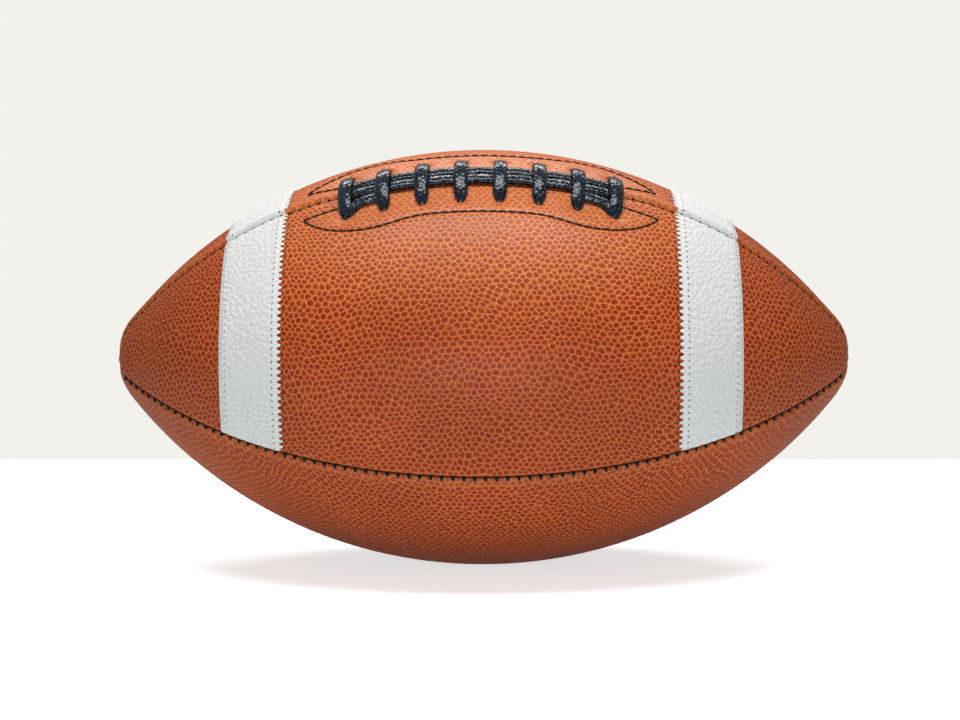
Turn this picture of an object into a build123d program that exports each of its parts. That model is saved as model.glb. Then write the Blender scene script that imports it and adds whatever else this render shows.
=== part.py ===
from build123d import *
from math import atan2, cos, degrees, floor, radians, sin, sqrt
import os

os.makedirs("parts", exist_ok=True)

# American football, lying on its belly with the laces rolled towards the front.
# The origin is the ball's centre, X runs along the ball, -Y is the front and Z is up.
# Sizes are in millimetres and angles in degrees.

# Outer form: one arc along the body, with a round nose tangent to it at each end
LENGTH = 289.0
DIAMETER = 164.0
NOSE_RADIUS = 26.0
LACE_ROLL = 27.0

# Layers of the cover, from the outside in
LEATHER = 2.2
LINING = 1.0
FACING = 1.0
TONGUE = 1.2
BLADDER_WALL = 0.9
LAYER_GAP = 0.2

# Seams, where the edges of two panels roll down to the thread
SEAM_GAP = 0.4
SEAM_ROLL_WIDTH = 3.0
SEAM_ROLL_DEPTH = 1.8
SEAM_ROLL_BULGE = 0.35
SEAM_THREAD = 0.8
SEAM_STITCH_PITCH = 4.0
SEAM_STITCH_LENGTH = 2.0
SEAM_STITCH_DEPTH = 0.45
SEAM_END = 12.0

# White stripes on the two lace panels, with skived edges
STRIPE = 0.9
STRIPE_EDGE = 0.35
STRIPE_SKIVE = 2.0
STRIPE_GAP = 0.1
STRIPE_FROM_MIDDLE = 77.5
STRIPE_WIDTH = 26.5
STRIPE_THREAD = 0.5
STRIPE_THREAD_LIFT = 0.15
ZIGZAG_PITCH = 2.45
ZIGZAG_OVERLAP = 1.9
ZIGZAG_EDGE = 0.6
ZIGZAG_WIDTH = 2.6
ZIGZAG_SHARE = 0.82

# Laces: a flat leather thong with rounded edges, and the bed that it presses into the panels
LACE_COUNT = 8
LACE_PITCH = 14.8
LACE_HOLE_OFFSET = 14.2
LACE_WIDTH = 5.4
LACE_THICKNESS = 2.4
LACE_ROUND = 1.0
LACE_CLEARANCE = 0.3
LACE_BED = 1.4
LACE_SHOULDER = 0.4
LACE_BEND = 2.6
LACE_JOIN = 0.3
STRAND_GAP = 0.2
TAIL_THICKNESS = 1.8
TAIL_STEP = 5.0
TAIL_FOOT = 12.4
TAIL_ACROSS = 8.8
TAIL_LIFT = 0.45
TAIL_BEND = 3.2

# Lace facings: sewn patches that carry the lace holes, drawn flat
FACING_TIP = 69.0
FACING_TIP_ACROSS = 10.0
FACING_NEAR = 8.0
FACING_NECK_AT = 18.0
FACING_NECK = 22.0
FACING_TURN_AT = 32.0
FACING_TURN = 23.7
FACING_MARGIN = 2.0
FACING_THREAD = 0.8
FACING_STITCH = 3.6
FACING_STITCH_SHARE = 0.86
FACING_THREAD_LIFT = 0.1

# Tongue between the laces and the bladder, and the hollow in the bladder that it lies in
TONGUE_WIDTH = 44.0
TONGUE_MARGIN = 6.0
TONGUE_CORNER = 8.0
POCKET_MARGIN = 8.0
POCKET_RAMP = 20.0

# Inflation valve, in the rear belly panel
VALVE_FROM_BELLY_SEAM = 20.0
VALVE_HOLE = 6.0
VALVE_STEM = 5.6
VALVE_TUBE = 7.6
VALVE_LENGTH = 15.0
VALVE_FLANGE = 16.0
VALVE_FLANGE_THICKNESS = 1.2
VALVE_RECESS = 0.4
VALVE_CLEARANCE = 0.2
CORE_DIAMETER = 3.8
CORE_LENGTH = 12.0
CORE_CLEARANCE = 0.1
NEEDLE_DIAMETER = 2.0

# Worked out from the sizes above
HALF_LENGTH = LENGTH / 2
GIRTH_RADIUS = DIAMETER / 2
BODY_RADIUS = (GIRTH_RADIUS**2 + HALF_LENGTH**2 - NOSE_RADIUS * LENGTH) / (2 * (GIRTH_RADIUS - NOSE_RADIUS))
BODY_DROP = BODY_RADIUS - GIRTH_RADIUS
NOSE_CENTRE = HALF_LENGTH - NOSE_RADIUS
BODY_SWING = degrees(atan2(NOSE_CENTRE, BODY_DROP))
BODY_HALF = BODY_RADIUS * radians(BODY_SWING)
HALF_SEAM = BODY_HALF + NOSE_RADIUS * radians(90 - BODY_SWING)

LINING_INSET = LEATHER + LAYER_GAP
BLADDER_INSET = LINING_INSET + LINING + LAYER_GAP
STRIPE_END = STRIPE_FROM_MIDDLE + STRIPE_WIDTH
GROOVE_HALF = SEAM_GAP / 2 + SEAM_ROLL_WIDTH
LACE_END = LACE_PITCH * (LACE_COUNT - 1) / 2
LACE_REACH = LACE_END + LACE_WIDTH / 2 + 2 * LACE_CLEARANCE
LACE_OPENING = LACE_END + LACE_PITCH / 2
STRAND_OFFSET = (LACE_WIDTH + STRAND_GAP) / 2
STRAND_LEVEL = LACE_CLEARANCE + LACE_THICKNESS / 2 - LACE_BED
STRAND_TOP = STRAND_LEVEL + LACE_THICKNESS / 2
RUN_EDGE = LACE_HOLE_OFFSET + LACE_WIDTH / 2


def meridian_plane(angle):
    """Plane through the long axis; its y axis points this far from straight up, towards the front."""
    turn = radians(angle)
    return Plane((0, 0, 0), x_dir=(1, 0, 0), z_dir=(0, -cos(turn), -sin(turn)))


def meridian(along, proud=0):
    """Point of the outline this far along the leather from the middle and off it, and its swing."""
    side = 1 if along >= 0 else -1
    reach = abs(along)
    if reach <= BODY_HALF:
        swing = reach / BODY_RADIUS
        x = (BODY_RADIUS + proud) * sin(swing)
        y = (BODY_RADIUS + proud) * cos(swing) - BODY_DROP
    else:
        swing = radians(BODY_SWING) + (reach - BODY_HALF) / NOSE_RADIUS
        x = NOSE_CENTRE + (NOSE_RADIUS + proud) * sin(swing)
        y = (NOSE_RADIUS + proud) * cos(swing)
    return side * x, y, side * degrees(swing)


def at_angle(along, angle, proud=0):
    """Point off the leather, this far along the ball and turned this far from straight up."""
    x, y, _ = meridian(along, proud)
    return meridian_plane(angle).from_local_coords((x, y, 0))


def on_ball(along, across, proud=0):
    """Point off the leather, this far along the ball and across from the lace seam to the front."""
    ring = meridian(along)[1]
    return at_angle(along, LACE_ROLL + degrees(across / ring), proud)


def outward(along, angle):
    """Direction straight out of the leather."""
    swing = radians(meridian(along)[2])
    plane = meridian_plane(angle)
    return plane.x_dir * sin(swing) + plane.y_dir * cos(swing)


def station(along, angle):
    """Plane square across a meridian: x around the ball to the front, y out of the leather."""
    around = meridian_plane(angle).z_dir
    return Plane(at_angle(along, angle), x_dir=around, z_dir=around.cross(outward(along, angle)))


def skin(along, angle):
    """Plane lying on the leather: x along the ball, y around it to the back, z out."""
    around = meridian_plane(angle).z_dir
    out = outward(along, angle)
    return Plane(at_angle(along, angle), x_dir=out.cross(around), z_dir=out)


def sag(across):
    """How far the widest ring of the ball falls away this far to the side of its top."""
    return GIRTH_RADIUS - sqrt(GIRTH_RADIUS**2 - across**2)


def half_outline(inset, mode=Mode.ADD):
    """Half section of the ball, this far inside the leather's outer face, down to the long axis."""
    tip = HALF_LENGTH - inset
    with BuildLine() as edge:
        CenterArc((0, -BODY_DROP), BODY_RADIUS - inset, 90 - BODY_SWING, 2 * BODY_SWING)
        CenterArc((NOSE_CENTRE, 0), NOSE_RADIUS - inset, 0, 90 - BODY_SWING)
        CenterArc((-NOSE_CENTRE, 0), NOSE_RADIUS - inset, 90 + BODY_SWING, 90 - BODY_SWING)
        Line((-tip, 0), (tip, 0))
    make_face(edge.edges(), mode=mode)


def quarter_shell(start, outer, inner):
    """Quarter of one layer, from one seam to the next."""
    with BuildSketch(meridian_plane(start)) as section:
        half_outline(outer)
        half_outline(inner, Mode.SUBTRACT)
    revolve(section.sketch, axis=Axis.X, revolution_arc=90)


def layer_strip(first, last, low, high):
    """Strip of a layer in a meridian plane, between two places along the ball and two heights."""
    swing = degrees(first / BODY_RADIUS)
    spread = degrees((last - first) / BODY_RADIUS)
    with BuildLine() as edge:
        CenterArc((0, -BODY_DROP), BODY_RADIUS + low, 90 - swing - spread, spread)
        CenterArc((0, -BODY_DROP), BODY_RADIUS + high, 90 - swing - spread, spread)
        Line(meridian(first, low)[:2], meridian(first, high)[:2])
        Line(meridian(last, low)[:2], meridian(last, high)[:2])
    make_face(edge.edges())


def groove_section():
    """Section of a seam: a slot through the leather that flares where the two edges roll down."""
    half = SEAM_GAP / 2
    rim = -SEAM_ROLL_DEPTH
    bed = -(LEATHER + LAYER_GAP / 2)
    with BuildLine() as edge:
        Polyline((half, rim), (half, bed), (-half, bed), (-half, rim))
        SagittaArc((-half, rim), (-GROOVE_HALF, 0), SEAM_ROLL_BULGE)
        Polyline((-GROOVE_HALF, 0), (-GROOVE_HALF, LEATHER), (GROOVE_HALF, LEATHER), (GROOVE_HALF, 0))
        SagittaArc((GROOVE_HALF, 0), (half, rim), SEAM_ROLL_BULGE)
    make_face(edge.edges())


def cut_seam(angle):
    """Cut one seam from nose to nose out of the leather."""
    around = meridian_plane(angle).z_dir
    turns = (
        (BODY_HALF, (0, -BODY_DROP, 0), around, 2 * BODY_SWING),
        (BODY_HALF, (NOSE_CENTRE, 0, 0), around * -1, 90 - BODY_SWING),
        (-BODY_HALF, (-NOSE_CENTRE, 0, 0), around, 90 - BODY_SWING),
    )
    for along, centre, direction, arc in turns:
        with BuildSketch(station(along, angle)) as section:
            groove_section()
        axis = Axis(meridian_plane(angle).from_local_coords(centre), direction)
        revolve(section.sketch, axis=axis, revolution_arc=arc, mode=Mode.SUBTRACT)


def lace_along(index):
    """Place of one crossing along the lace seam."""
    return index * LACE_PITCH - LACE_END


def cut_lace_holes(side):
    """Cut the row of lace holes on one side of the lace seam."""
    reach = LACE_THICKNESS + BLADDER_INSET + FACING + sag(RUN_EDGE)
    length = LACE_WIDTH + 2 * LACE_CLEARANCE
    width = LACE_THICKNESS + 2 * LACE_CLEARANCE
    for index in range(LACE_COUNT):
        with BuildSketch(skin(lace_along(index), LACE_ROLL)) as slot:
            with Locations((0, -side * LACE_HOLE_OFFSET)):
                RectangleRounded(length, width, LACE_ROUND)
        extrude(slot.sketch, amount=reach, both=True, mode=Mode.SUBTRACT)


def cut_lace_bed():
    """Press the bed that the lace's two strands lie in."""
    reach = LACE_END + LACE_WIDTH / 2 + LACE_CLEARANCE
    with BuildSketch(meridian_plane(LACE_ROLL)) as section:
        layer_strip(-reach, reach, -LACE_BED, LACE_THICKNESS)
    half_width = STRAND_OFFSET + LACE_WIDTH / 2 + LACE_CLEARANCE
    extrude(section.sketch, amount=half_width, both=True, mode=Mode.SUBTRACT)


def cut_valve_hole(diameter):
    """Cut the valve's hole, square to the leather."""
    with BuildSketch(VALVE_PLANE) as hole:
        Circle(diameter / 2)
    extrude(hole.sketch, amount=2 * BLADDER_INSET, both=True, mode=Mode.SUBTRACT)


def stitches(points, thread, share):
    """Straight stitches between successive points, each this share of its step long."""
    places = []
    for start, end in zip(points, points[1:]):
        places.append(Plane((start + end) / 2, z_dir=end - start))
    step = (points[1] - points[0]).length
    with Locations(*places):
        Cylinder(thread / 2, step * share)


def keep(piece, name):
    """Name a finished piece and write it."""
    piece.part.label = name
    export_step(piece.part, f"parts/{name}.step")


# Quarters of the cover: the angle where each starts, and its side of the laces if it carries them
QUARTERS = {
    "lace_front": (LACE_ROLL, 1),
    "belly_front": (LACE_ROLL + 90, 0),
    "belly_back": (LACE_ROLL + 180, 0),
    "lace_back": (LACE_ROLL + 270, -1),
}
VALVE_PLANE = skin(0, LACE_ROLL + 180 + VALVE_FROM_BELLY_SEAM)

# Leather panels
for quarter, (start, side) in QUARTERS.items():
    with BuildPart() as panel:
        quarter_shell(start, 0, LEATHER)
        cut_seam(start)
        cut_seam(start + 90)
        if side:
            cut_lace_holes(side)
            cut_lace_bed()
        if quarter == "belly_back":
            cut_valve_hole(VALVE_HOLE)
    keep(panel, f"panel_{quarter}")

# Fabric linings behind the panels
for quarter, (start, side) in QUARTERS.items():
    with BuildPart() as lining:
        quarter_shell(start, LINING_INSET, LINING_INSET + LINING)
        split(bisect_by=meridian_plane(start).offset(SEAM_GAP / 2), keep=Keep.TOP)
        split(bisect_by=meridian_plane(start + 90).offset(-SEAM_GAP / 2), keep=Keep.BOTTOM)
        if side:
            cut_lace_holes(side)
        if quarter == "belly_back":
            cut_valve_hole(VALVE_TUBE + 2 * VALVE_CLEARANCE)
    keep(lining, f"lining_{quarter}")

# Threads of the four seams, one bar for each stitch; the lace seam is open in its middle
SEAMS = {
    "lace": (LACE_ROLL, LACE_OPENING),
    "front": (LACE_ROLL + 90, SEAM_STITCH_PITCH / 2),
    "belly": (LACE_ROLL + 180, SEAM_STITCH_PITCH / 2),
    "back": (LACE_ROLL + 270, SEAM_STITCH_PITCH / 2),
}
for seam, (angle, first) in SEAMS.items():
    count = floor((HALF_SEAM - SEAM_END - first) / SEAM_STITCH_PITCH) + 1
    around = meridian_plane(angle).z_dir
    places = []
    for index in range(count):
        along = first + index * SEAM_STITCH_PITCH
        places.append(Plane(at_angle(along, angle, -SEAM_STITCH_DEPTH), z_dir=around))
        places.append(Plane(at_angle(-along, angle, -SEAM_STITCH_DEPTH), z_dir=around))
    with BuildPart() as seam_thread:
        with Locations(*places):
            Cylinder(SEAM_THREAD / 2, SEAM_STITCH_LENGTH)
    keep(seam_thread, f"seam_thread_{seam}")

# Stripes and the zigzag threads along their two edges
stripe_margin = degrees(GROOVE_HALF / meridian(STRIPE_END)[1])
stripe_top = STRIPE_GAP + STRIPE
thread_lift = STRIPE_THREAD / 2 + STRIPE_THREAD_LIFT
ZIGZAG_ROWS = (
    ((STRIPE_FROM_MIDDLE - ZIGZAG_OVERLAP, 0), (STRIPE_FROM_MIDDLE + STRIPE_SKIVE, stripe_top)),
    ((STRIPE_END - ZIGZAG_EDGE, stripe_top), (STRIPE_END - ZIGZAG_EDGE - ZIGZAG_WIDTH, stripe_top)),
)
for quarter in ("lace_front", "lace_back"):
    start = QUARTERS[quarter][0]
    for end, way in (("left", -1), ("right", 1)):
        skives = (STRIPE_FROM_MIDDLE + STRIPE_SKIVE, STRIPE_END - STRIPE_SKIVE)
        edges = (STRIPE_FROM_MIDDLE, *skives, STRIPE_END)
        heights = (STRIPE_EDGE + STRIPE_GAP, stripe_top, stripe_top, STRIPE_EDGE + STRIPE_GAP)
        inner_edge, inner_top, outer_top, outer_edge = [
            meridian(way * along, height)[:2] for along, height in zip(edges, heights)
        ]
        middle = way * (STRIPE_FROM_MIDDLE + STRIPE_END) / 2
        with BuildPart() as stripe:
            with BuildSketch(meridian_plane(start + stripe_margin)):
                with BuildLine():
                    ThreePointArc(
                        meridian(way * STRIPE_FROM_MIDDLE, STRIPE_GAP)[:2],
                        meridian(middle, STRIPE_GAP)[:2],
                        meridian(way * STRIPE_END, STRIPE_GAP)[:2],
                    )
                    Polyline(meridian(way * STRIPE_FROM_MIDDLE, STRIPE_GAP)[:2], inner_edge, inner_top)
                    ThreePointArc(inner_top, meridian(middle, stripe_top)[:2], outer_top)
                    Polyline(outer_top, outer_edge, meridian(way * STRIPE_END, STRIPE_GAP)[:2])
                make_face()
            revolve(axis=Axis.X, revolution_arc=90 - 2 * stripe_margin)
        keep(stripe, f"stripe_{quarter[5:]}_{end}")

        with BuildPart() as stripe_thread:
            for row in ZIGZAG_ROWS:
                ring = meridian(row[0][0])[1]
                turn = degrees(ZIGZAG_PITCH / 2 / ring)
                count = floor((90 - 2 * stripe_margin) / turn)
                first = start + (90 - (count - 1) * turn) / 2
                points = []
                for index in range(count):
                    along, height = row[index % 2]
                    points.append(at_angle(way * along, first + index * turn, height + thread_lift))
                stitches(points, STRIPE_THREAD, ZIGZAG_SHARE)
        keep(stripe_thread, f"stripe_thread_{quarter[5:]}_{end}")

# Lace facings inside the lace panels, and the stitched outlines that show outside them:
# each line leaves the end crossing, runs out to the tip and comes back below the lace holes
with BuildLine(mode=Mode.PRIVATE) as facing_edge:
    middle_line = Line((0, FACING_NECK), (FACING_NECK_AT, FACING_NECK))
    neck_arc = TangentArc(middle_line @ 1, (FACING_TURN_AT, FACING_TURN), tangent=middle_line % 1)
    TangentArc(neck_arc @ 1, (FACING_TIP, FACING_TIP_ACROSS), tangent=neck_arc % 1)
    Line((FACING_TIP, FACING_TIP_ACROSS), (LACE_REACH, FACING_NEAR))
    mirror(about=Plane.YZ)
facing_line = facing_edge.wire()
for quarter, (start, side) in QUARTERS.items():
    if not side:
        continue
    with BuildPart() as facing:
        quarter_shell(start, BLADDER_INSET, BLADDER_INSET + FACING)
        with BuildSketch(skin(0, LACE_ROLL)) as patch:
            with BuildLine() as closed_edge:
                add(facing_line)
                Line((-LACE_REACH, FACING_NEAR), (LACE_REACH, FACING_NEAR))
            make_face(closed_edge.edges())
            offset(amount=FACING_MARGIN)
            if side > 0:
                mirror(about=Plane.XZ, mode=Mode.REPLACE)
        extrude(patch.sketch, amount=-GIRTH_RADIUS / 2, mode=Mode.INTERSECT)
        cut_lace_holes(side)
    keep(facing, f"lace_facing_{quarter[5:]}")

    count = floor(facing_line.length / FACING_STITCH)
    lift = FACING_THREAD / 2 + FACING_THREAD_LIFT
    points = []
    for index in range(count + 1):
        spot = facing_line.position_at(index / count)
        points.append(on_ball(spot.X, side * spot.Y, lift))
    with BuildPart() as facing_thread:
        stitches(points, FACING_THREAD, FACING_STITCH_SHARE)
    keep(facing_thread, f"facing_thread_{quarter[5:]}")

# Lace: crossings over two lengthwise strands, runs inside the ball from hole to hole, and two
# tails that leave the end crossings at their front holes and are tucked under the next ones
run_depth = sag(RUN_EDGE) + BLADDER_INSET + FACING + LACE_CLEARANCE + LACE_THICKNESS / 2
lace_seam = meridian_plane(LACE_ROLL)
strand_swing = degrees((LACE_END + LACE_WIDTH / 2 - LACE_JOIN) / BODY_RADIUS)
with BuildPart() as lace:
    for side in (-1, 1):
        with BuildLine(lace_seam.offset(side * STRAND_OFFSET)) as strand:
            CenterArc(
                (0, -BODY_DROP),
                BODY_RADIUS + STRAND_LEVEL,
                90 - strand_swing,
                2 * strand_swing,
            )
        with BuildSketch(Plane(strand.wire() @ 0, x_dir=lace_seam.z_dir, z_dir=strand.wire() % 0)):
            RectangleRounded(LACE_WIDTH, LACE_THICKNESS, LACE_ROUND)
        sweep()
    for index in range(LACE_COUNT):
        place = station(lace_along(index), LACE_ROLL)
        at_end = index in (0, LACE_COUNT - 1)
        top = STRAND_TOP + LACE_THICKNESS / 2 + (-LACE_JOIN if at_end else LACE_CLEARANCE)
        with BuildLine(place) as crossing:
            FilletPolyline(
                (-LACE_HOLE_OFFSET, -run_depth),
                (-LACE_HOLE_OFFSET, LACE_SHOULDER),
                (-2 * STRAND_OFFSET, top),
                (2 * STRAND_OFFSET, top),
                (LACE_HOLE_OFFSET, LACE_SHOULDER),
                (LACE_HOLE_OFFSET, -run_depth),
                radius=LACE_BEND,
            )
        with BuildSketch(Plane(crossing.wire() @ 0, x_dir=place.z_dir, z_dir=crossing.wire() % 0)):
            RectangleRounded(LACE_WIDTH, LACE_THICKNESS, LACE_ROUND)
        sweep()
    for index in range(LACE_COUNT - 1):
        side = 1 if index % 2 else -1
        corner = (side * LACE_HOLE_OFFSET, -run_depth, 0)
        start = station(lace_along(index), LACE_ROLL).from_local_coords(corner)
        end = station(lace_along(index + 1), LACE_ROLL).from_local_coords(corner)
        with BuildSketch(Plane((start + end) / 2, x_dir=lace_seam.z_dir, z_dir=end - start)):
            RectangleRounded(LACE_WIDTH, LACE_THICKNESS, LACE_ROUND)
        extrude(amount=((end - start).length + LACE_WIDTH) / 2, both=True)
    for index, inward in ((0, 1), (LACE_COUNT - 1, -1)):
        lift = TAIL_LIFT + TAIL_THICKNESS / 2
        foot = on_ball(lace_along(index), TAIL_FOOT, lift)
        knee = on_ball(lace_along(index) + inward * TAIL_STEP, TAIL_ACROSS, lift)
        finish = on_ball(lace_along(index + inward), TAIL_ACROSS, lift)
        with BuildLine() as tail:
            FilletPolyline(foot, knee, finish, radius=TAIL_BEND)
        flat_side = (knee - foot).cross(finish - knee)
        with BuildSketch(Plane(foot, x_dir=flat_side.cross(knee - foot), z_dir=knee - foot)):
            RectangleRounded(LACE_WIDTH, TAIL_THICKNESS, TAIL_THICKNESS / 3)
        sweep()
keep(lace, "lace")

# Tongue that keeps the laces off the bladder
pocket_depth = run_depth + LACE_THICKNESS / 2 + LACE_CLEARANCE + TONGUE + LAYER_GAP
tongue_half = LACE_END + TONGUE_MARGIN
with BuildPart() as tongue:
    with BuildSketch(lace_seam) as section:
        layer_strip(-tongue_half, tongue_half, LAYER_GAP - pocket_depth, LAYER_GAP + TONGUE - pocket_depth)
    extrude(section.sketch, amount=TONGUE_WIDTH / 2, both=True)
    corners = tongue.edges().filter_by(lambda edge: abs(edge.length - TONGUE) < LAYER_GAP / 2)
    fillet(corners, TONGUE_CORNER)
keep(tongue, "lace_tongue")


# Bladder, hollowed under the laces where the tongue lies
def bladder_form(inset, mode):
    """Ball of the bladder, this far inside the leather's outer face, with the hollow for the tongue."""
    extra = inset - BLADDER_INSET
    floor_half = tongue_half + POCKET_MARGIN + extra
    with BuildPart(mode=Mode.PRIVATE) as form:
        with BuildSketch(lace_seam) as section:
            half_outline(inset)
        revolve(section.sketch, axis=Axis.X)
        with BuildSketch(lace_seam) as pocket:
            with BuildLine() as edge:
                left = meridian(-floor_half, -pocket_depth - extra)[:2]
                right = meridian(floor_half, -pocket_depth - extra)[:2]
                ThreePointArc(left, (0, GIRTH_RADIUS - pocket_depth - extra), right)
                Polyline(
                    right,
                    meridian(floor_half + POCKET_RAMP, 0)[:2],
                    (floor_half + POCKET_RAMP, DIAMETER),
                    (-floor_half - POCKET_RAMP, DIAMETER),
                    meridian(-floor_half - POCKET_RAMP, 0)[:2],
                    left,
                )
            make_face(edge.edges())
        extrude(pocket.sketch, amount=DIAMETER, both=True, mode=Mode.SUBTRACT)
    add(form.part, mode=mode)


with BuildPart() as bladder:
    bladder_form(BLADDER_INSET, Mode.ADD)
    bladder_form(BLADDER_INSET + BLADDER_WALL, Mode.SUBTRACT)
    cut_valve_hole(VALVE_TUBE + 2 * VALVE_CLEARANCE)
keep(bladder, "bladder")

# Valve: a rubber housing bonded inside the bladder, with a softer self-sealing core for the needle
flange_top = -(BLADDER_INSET + BLADDER_WALL + sag(VALVE_FLANGE / 2) + LAYER_GAP)
stem_shoulder = -(LINING_INSET + VALVE_CLEARANCE)
valve_bottom = -VALVE_RECESS - VALVE_LENGTH
with BuildPart() as valve_body:
    with BuildSketch(VALVE_PLANE.offset(valve_bottom)):
        Circle(VALVE_TUBE / 2)
    extrude(amount=stem_shoulder - valve_bottom)
    with BuildSketch(VALVE_PLANE.offset(stem_shoulder)):
        Circle(VALVE_STEM / 2)
    extrude(amount=-VALVE_RECESS - stem_shoulder)
    with BuildSketch(VALVE_PLANE.offset(flange_top - VALVE_FLANGE_THICKNESS)):
        Circle(VALVE_FLANGE / 2)
    extrude(amount=VALVE_FLANGE_THICKNESS)
    with BuildSketch(VALVE_PLANE):
        Circle(CORE_DIAMETER / 2 + CORE_CLEARANCE)
    extrude(amount=valve_bottom, mode=Mode.SUBTRACT)
keep(valve_body, "valve_body")

core_top = -VALVE_RECESS - (VALVE_LENGTH - CORE_LENGTH) / 2
with BuildPart() as valve_core:
    with BuildSketch(VALVE_PLANE.offset(core_top)):
        Circle(CORE_DIAMETER / 2)
        Circle(NEEDLE_DIAMETER / 2, mode=Mode.SUBTRACT)
    extrude(amount=-CORE_LENGTH)
keep(valve_core, "valve_core")
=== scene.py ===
from math import atan2, cos, floor, pi, radians, sin

import bmesh
import bpy
import numpy as np
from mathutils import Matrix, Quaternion, Vector


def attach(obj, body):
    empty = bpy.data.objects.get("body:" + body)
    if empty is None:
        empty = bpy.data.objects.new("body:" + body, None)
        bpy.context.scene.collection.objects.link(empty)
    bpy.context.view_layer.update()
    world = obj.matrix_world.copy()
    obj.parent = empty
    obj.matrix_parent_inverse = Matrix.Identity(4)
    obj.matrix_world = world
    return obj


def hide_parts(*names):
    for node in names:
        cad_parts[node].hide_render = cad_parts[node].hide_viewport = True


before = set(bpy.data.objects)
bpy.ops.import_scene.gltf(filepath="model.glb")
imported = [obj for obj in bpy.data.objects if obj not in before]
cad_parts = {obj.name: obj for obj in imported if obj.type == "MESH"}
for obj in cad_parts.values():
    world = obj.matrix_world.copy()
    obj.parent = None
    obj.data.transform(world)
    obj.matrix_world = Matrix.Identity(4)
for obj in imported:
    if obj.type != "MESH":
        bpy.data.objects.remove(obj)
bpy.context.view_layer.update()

# %% [markdown]
# An american football. Four pebbled leather panels are sewn into a pointed ball, white stripes
# are sewn near its ends, and a dark thong laces the opening shut. Every size below is in
# millimetres along the leather, so a pattern can be laid out flat and then bent onto the ball.

# %% Form of the ball
MM = 0.001
HALF_LENGTH = 144.5
GIRTH_RADIUS = 82.0
NOSE_RADIUS = 26.0
LACE_ROLL = radians(27)
LEATHER = 2.2
BODY_RADIUS = (GIRTH_RADIUS**2 + HALF_LENGTH**2 - 2 * NOSE_RADIUS * HALF_LENGTH) / (
    2 * (GIRTH_RADIUS - NOSE_RADIUS)
)
BODY_DROP = BODY_RADIUS - GIRTH_RADIUS
NOSE_CENTRE = HALF_LENGTH - NOSE_RADIUS
BODY_SWING = atan2(NOSE_CENTRE, BODY_DROP)
BODY_HALF = BODY_RADIUS * BODY_SWING
HALF_SEAM = BODY_HALF + NOSE_RADIUS * (pi / 2 - BODY_SWING)


def meridian(along, proud=0.0):
    """Place on the outline: along the long axis, off it, and the swing of the leather there."""
    reach = np.abs(along)
    on_body = reach <= BODY_HALF
    swing = np.where(on_body, reach / BODY_RADIUS, BODY_SWING + (reach - BODY_HALF) / NOSE_RADIUS)
    radius = np.where(on_body, BODY_RADIUS, NOSE_RADIUS) + proud
    x = np.where(on_body, 0, NOSE_CENTRE) + radius * np.sin(swing)
    ring = np.where(on_body, -BODY_DROP, 0) + radius * np.cos(swing)
    return np.sign(along) * x, ring, np.sign(along) * swing


def on_ball(along, angle, proud=0.0):
    """Points off the leather, in millimetres; the angle runs from straight up towards the front."""
    x, ring, _ = meridian(along, proud)
    return np.stack(np.broadcast_arrays(x, -ring * np.sin(angle), ring * np.cos(angle)), -1)


def directions(along, angle):
    """Unit directions at a place: along the ball, around it to the front, and straight out."""
    swing = meridian(along)[2]
    swing, angle = np.broadcast_arrays(swing, angle)
    zero = np.zeros_like(swing)
    forward = np.stack([np.cos(swing), np.sin(swing) * np.sin(angle), -np.sin(swing) * np.cos(angle)], -1)
    around = np.stack([zero, -np.cos(angle), -np.sin(angle)], -1)
    out = np.stack([np.sin(swing), -np.cos(swing) * np.sin(angle), np.cos(swing) * np.cos(angle)], -1)
    return forward, around, out


def unit(vectors):
    """Vectors brought to a length of 1."""
    return vectors / np.linalg.norm(vectors, axis=-1)[:, None]


def ease(low, high, value):
    """Smooth step from 0 at low to 1 at high."""
    part = np.clip((value - low) / (high - low), 0, 1)
    return part * part * (3 - 2 * part)


print(f"seam from nose to nose {2 * HALF_SEAM:.1f} mm")

# %% [markdown]
# Node trees are easier to read as plain formulas. A Value stands for one socket of a tree, and
# each sign of arithmetic between Values adds a node. Plain numbers are written on its inputs.


# %% Helpers for node trees
class Value:
    """One socket of a node tree, ready for arithmetic."""

    def __init__(self, socket):
        self.socket = socket
        self.tree = socket.id_data

    def __add__(self, other):
        return calc("ADD", self, other)

    def __sub__(self, other):
        return calc("SUBTRACT", self, other)

    def __rsub__(self, other):
        return calc("SUBTRACT", other, self)

    def __mul__(self, other):
        return calc("MULTIPLY", self, other)

    def __truediv__(self, other):
        return calc("DIVIDE", self, other)

    def __rtruediv__(self, other):
        return calc("DIVIDE", other, self)


def fill(socket, value):
    """Link a socket to a Value, or write a plain number or colour on it."""
    if isinstance(value, Value):
        value.tree.links.new(value.socket, socket)
    else:
        socket.default_value = value


def node(tree, kind, values=(), **settings):
    """Add a node, set its options, and feed its inputs by name or number."""
    made = tree.nodes.new(kind)
    for option, value in settings.items():
        setattr(made, option, value)
    for key, value in dict(values).items():
        fill(made.inputs[key], value)
    return made


def named(sockets):
    """Sockets as Values, by name."""
    return {socket.name: Value(socket) for socket in sockets}


def take(tree, kind, values=(), output=0, **settings):
    """Add a node and take one of its outputs."""
    return Value(node(tree, kind, values, **settings).outputs[output])


def tree_of(values):
    """The tree that some of these values are in."""
    return next(value.tree for value in values if isinstance(value, Value))


def calc(operation, *values):
    """One step of arithmetic."""
    return take(tree_of(values), "ShaderNodeMath", enumerate(values), operation=operation)


def arrow(operation, *values):
    """One step of vector arithmetic; a scale is the fourth input."""
    keys = (0, 3) if operation == "SCALE" else (0, 1)
    output = "Value" if operation in ("LENGTH", "DOT_PRODUCT") else "Vector"
    return take(tree_of(values), "ShaderNodeVectorMath", zip(keys, values), output, operation=operation)


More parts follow.
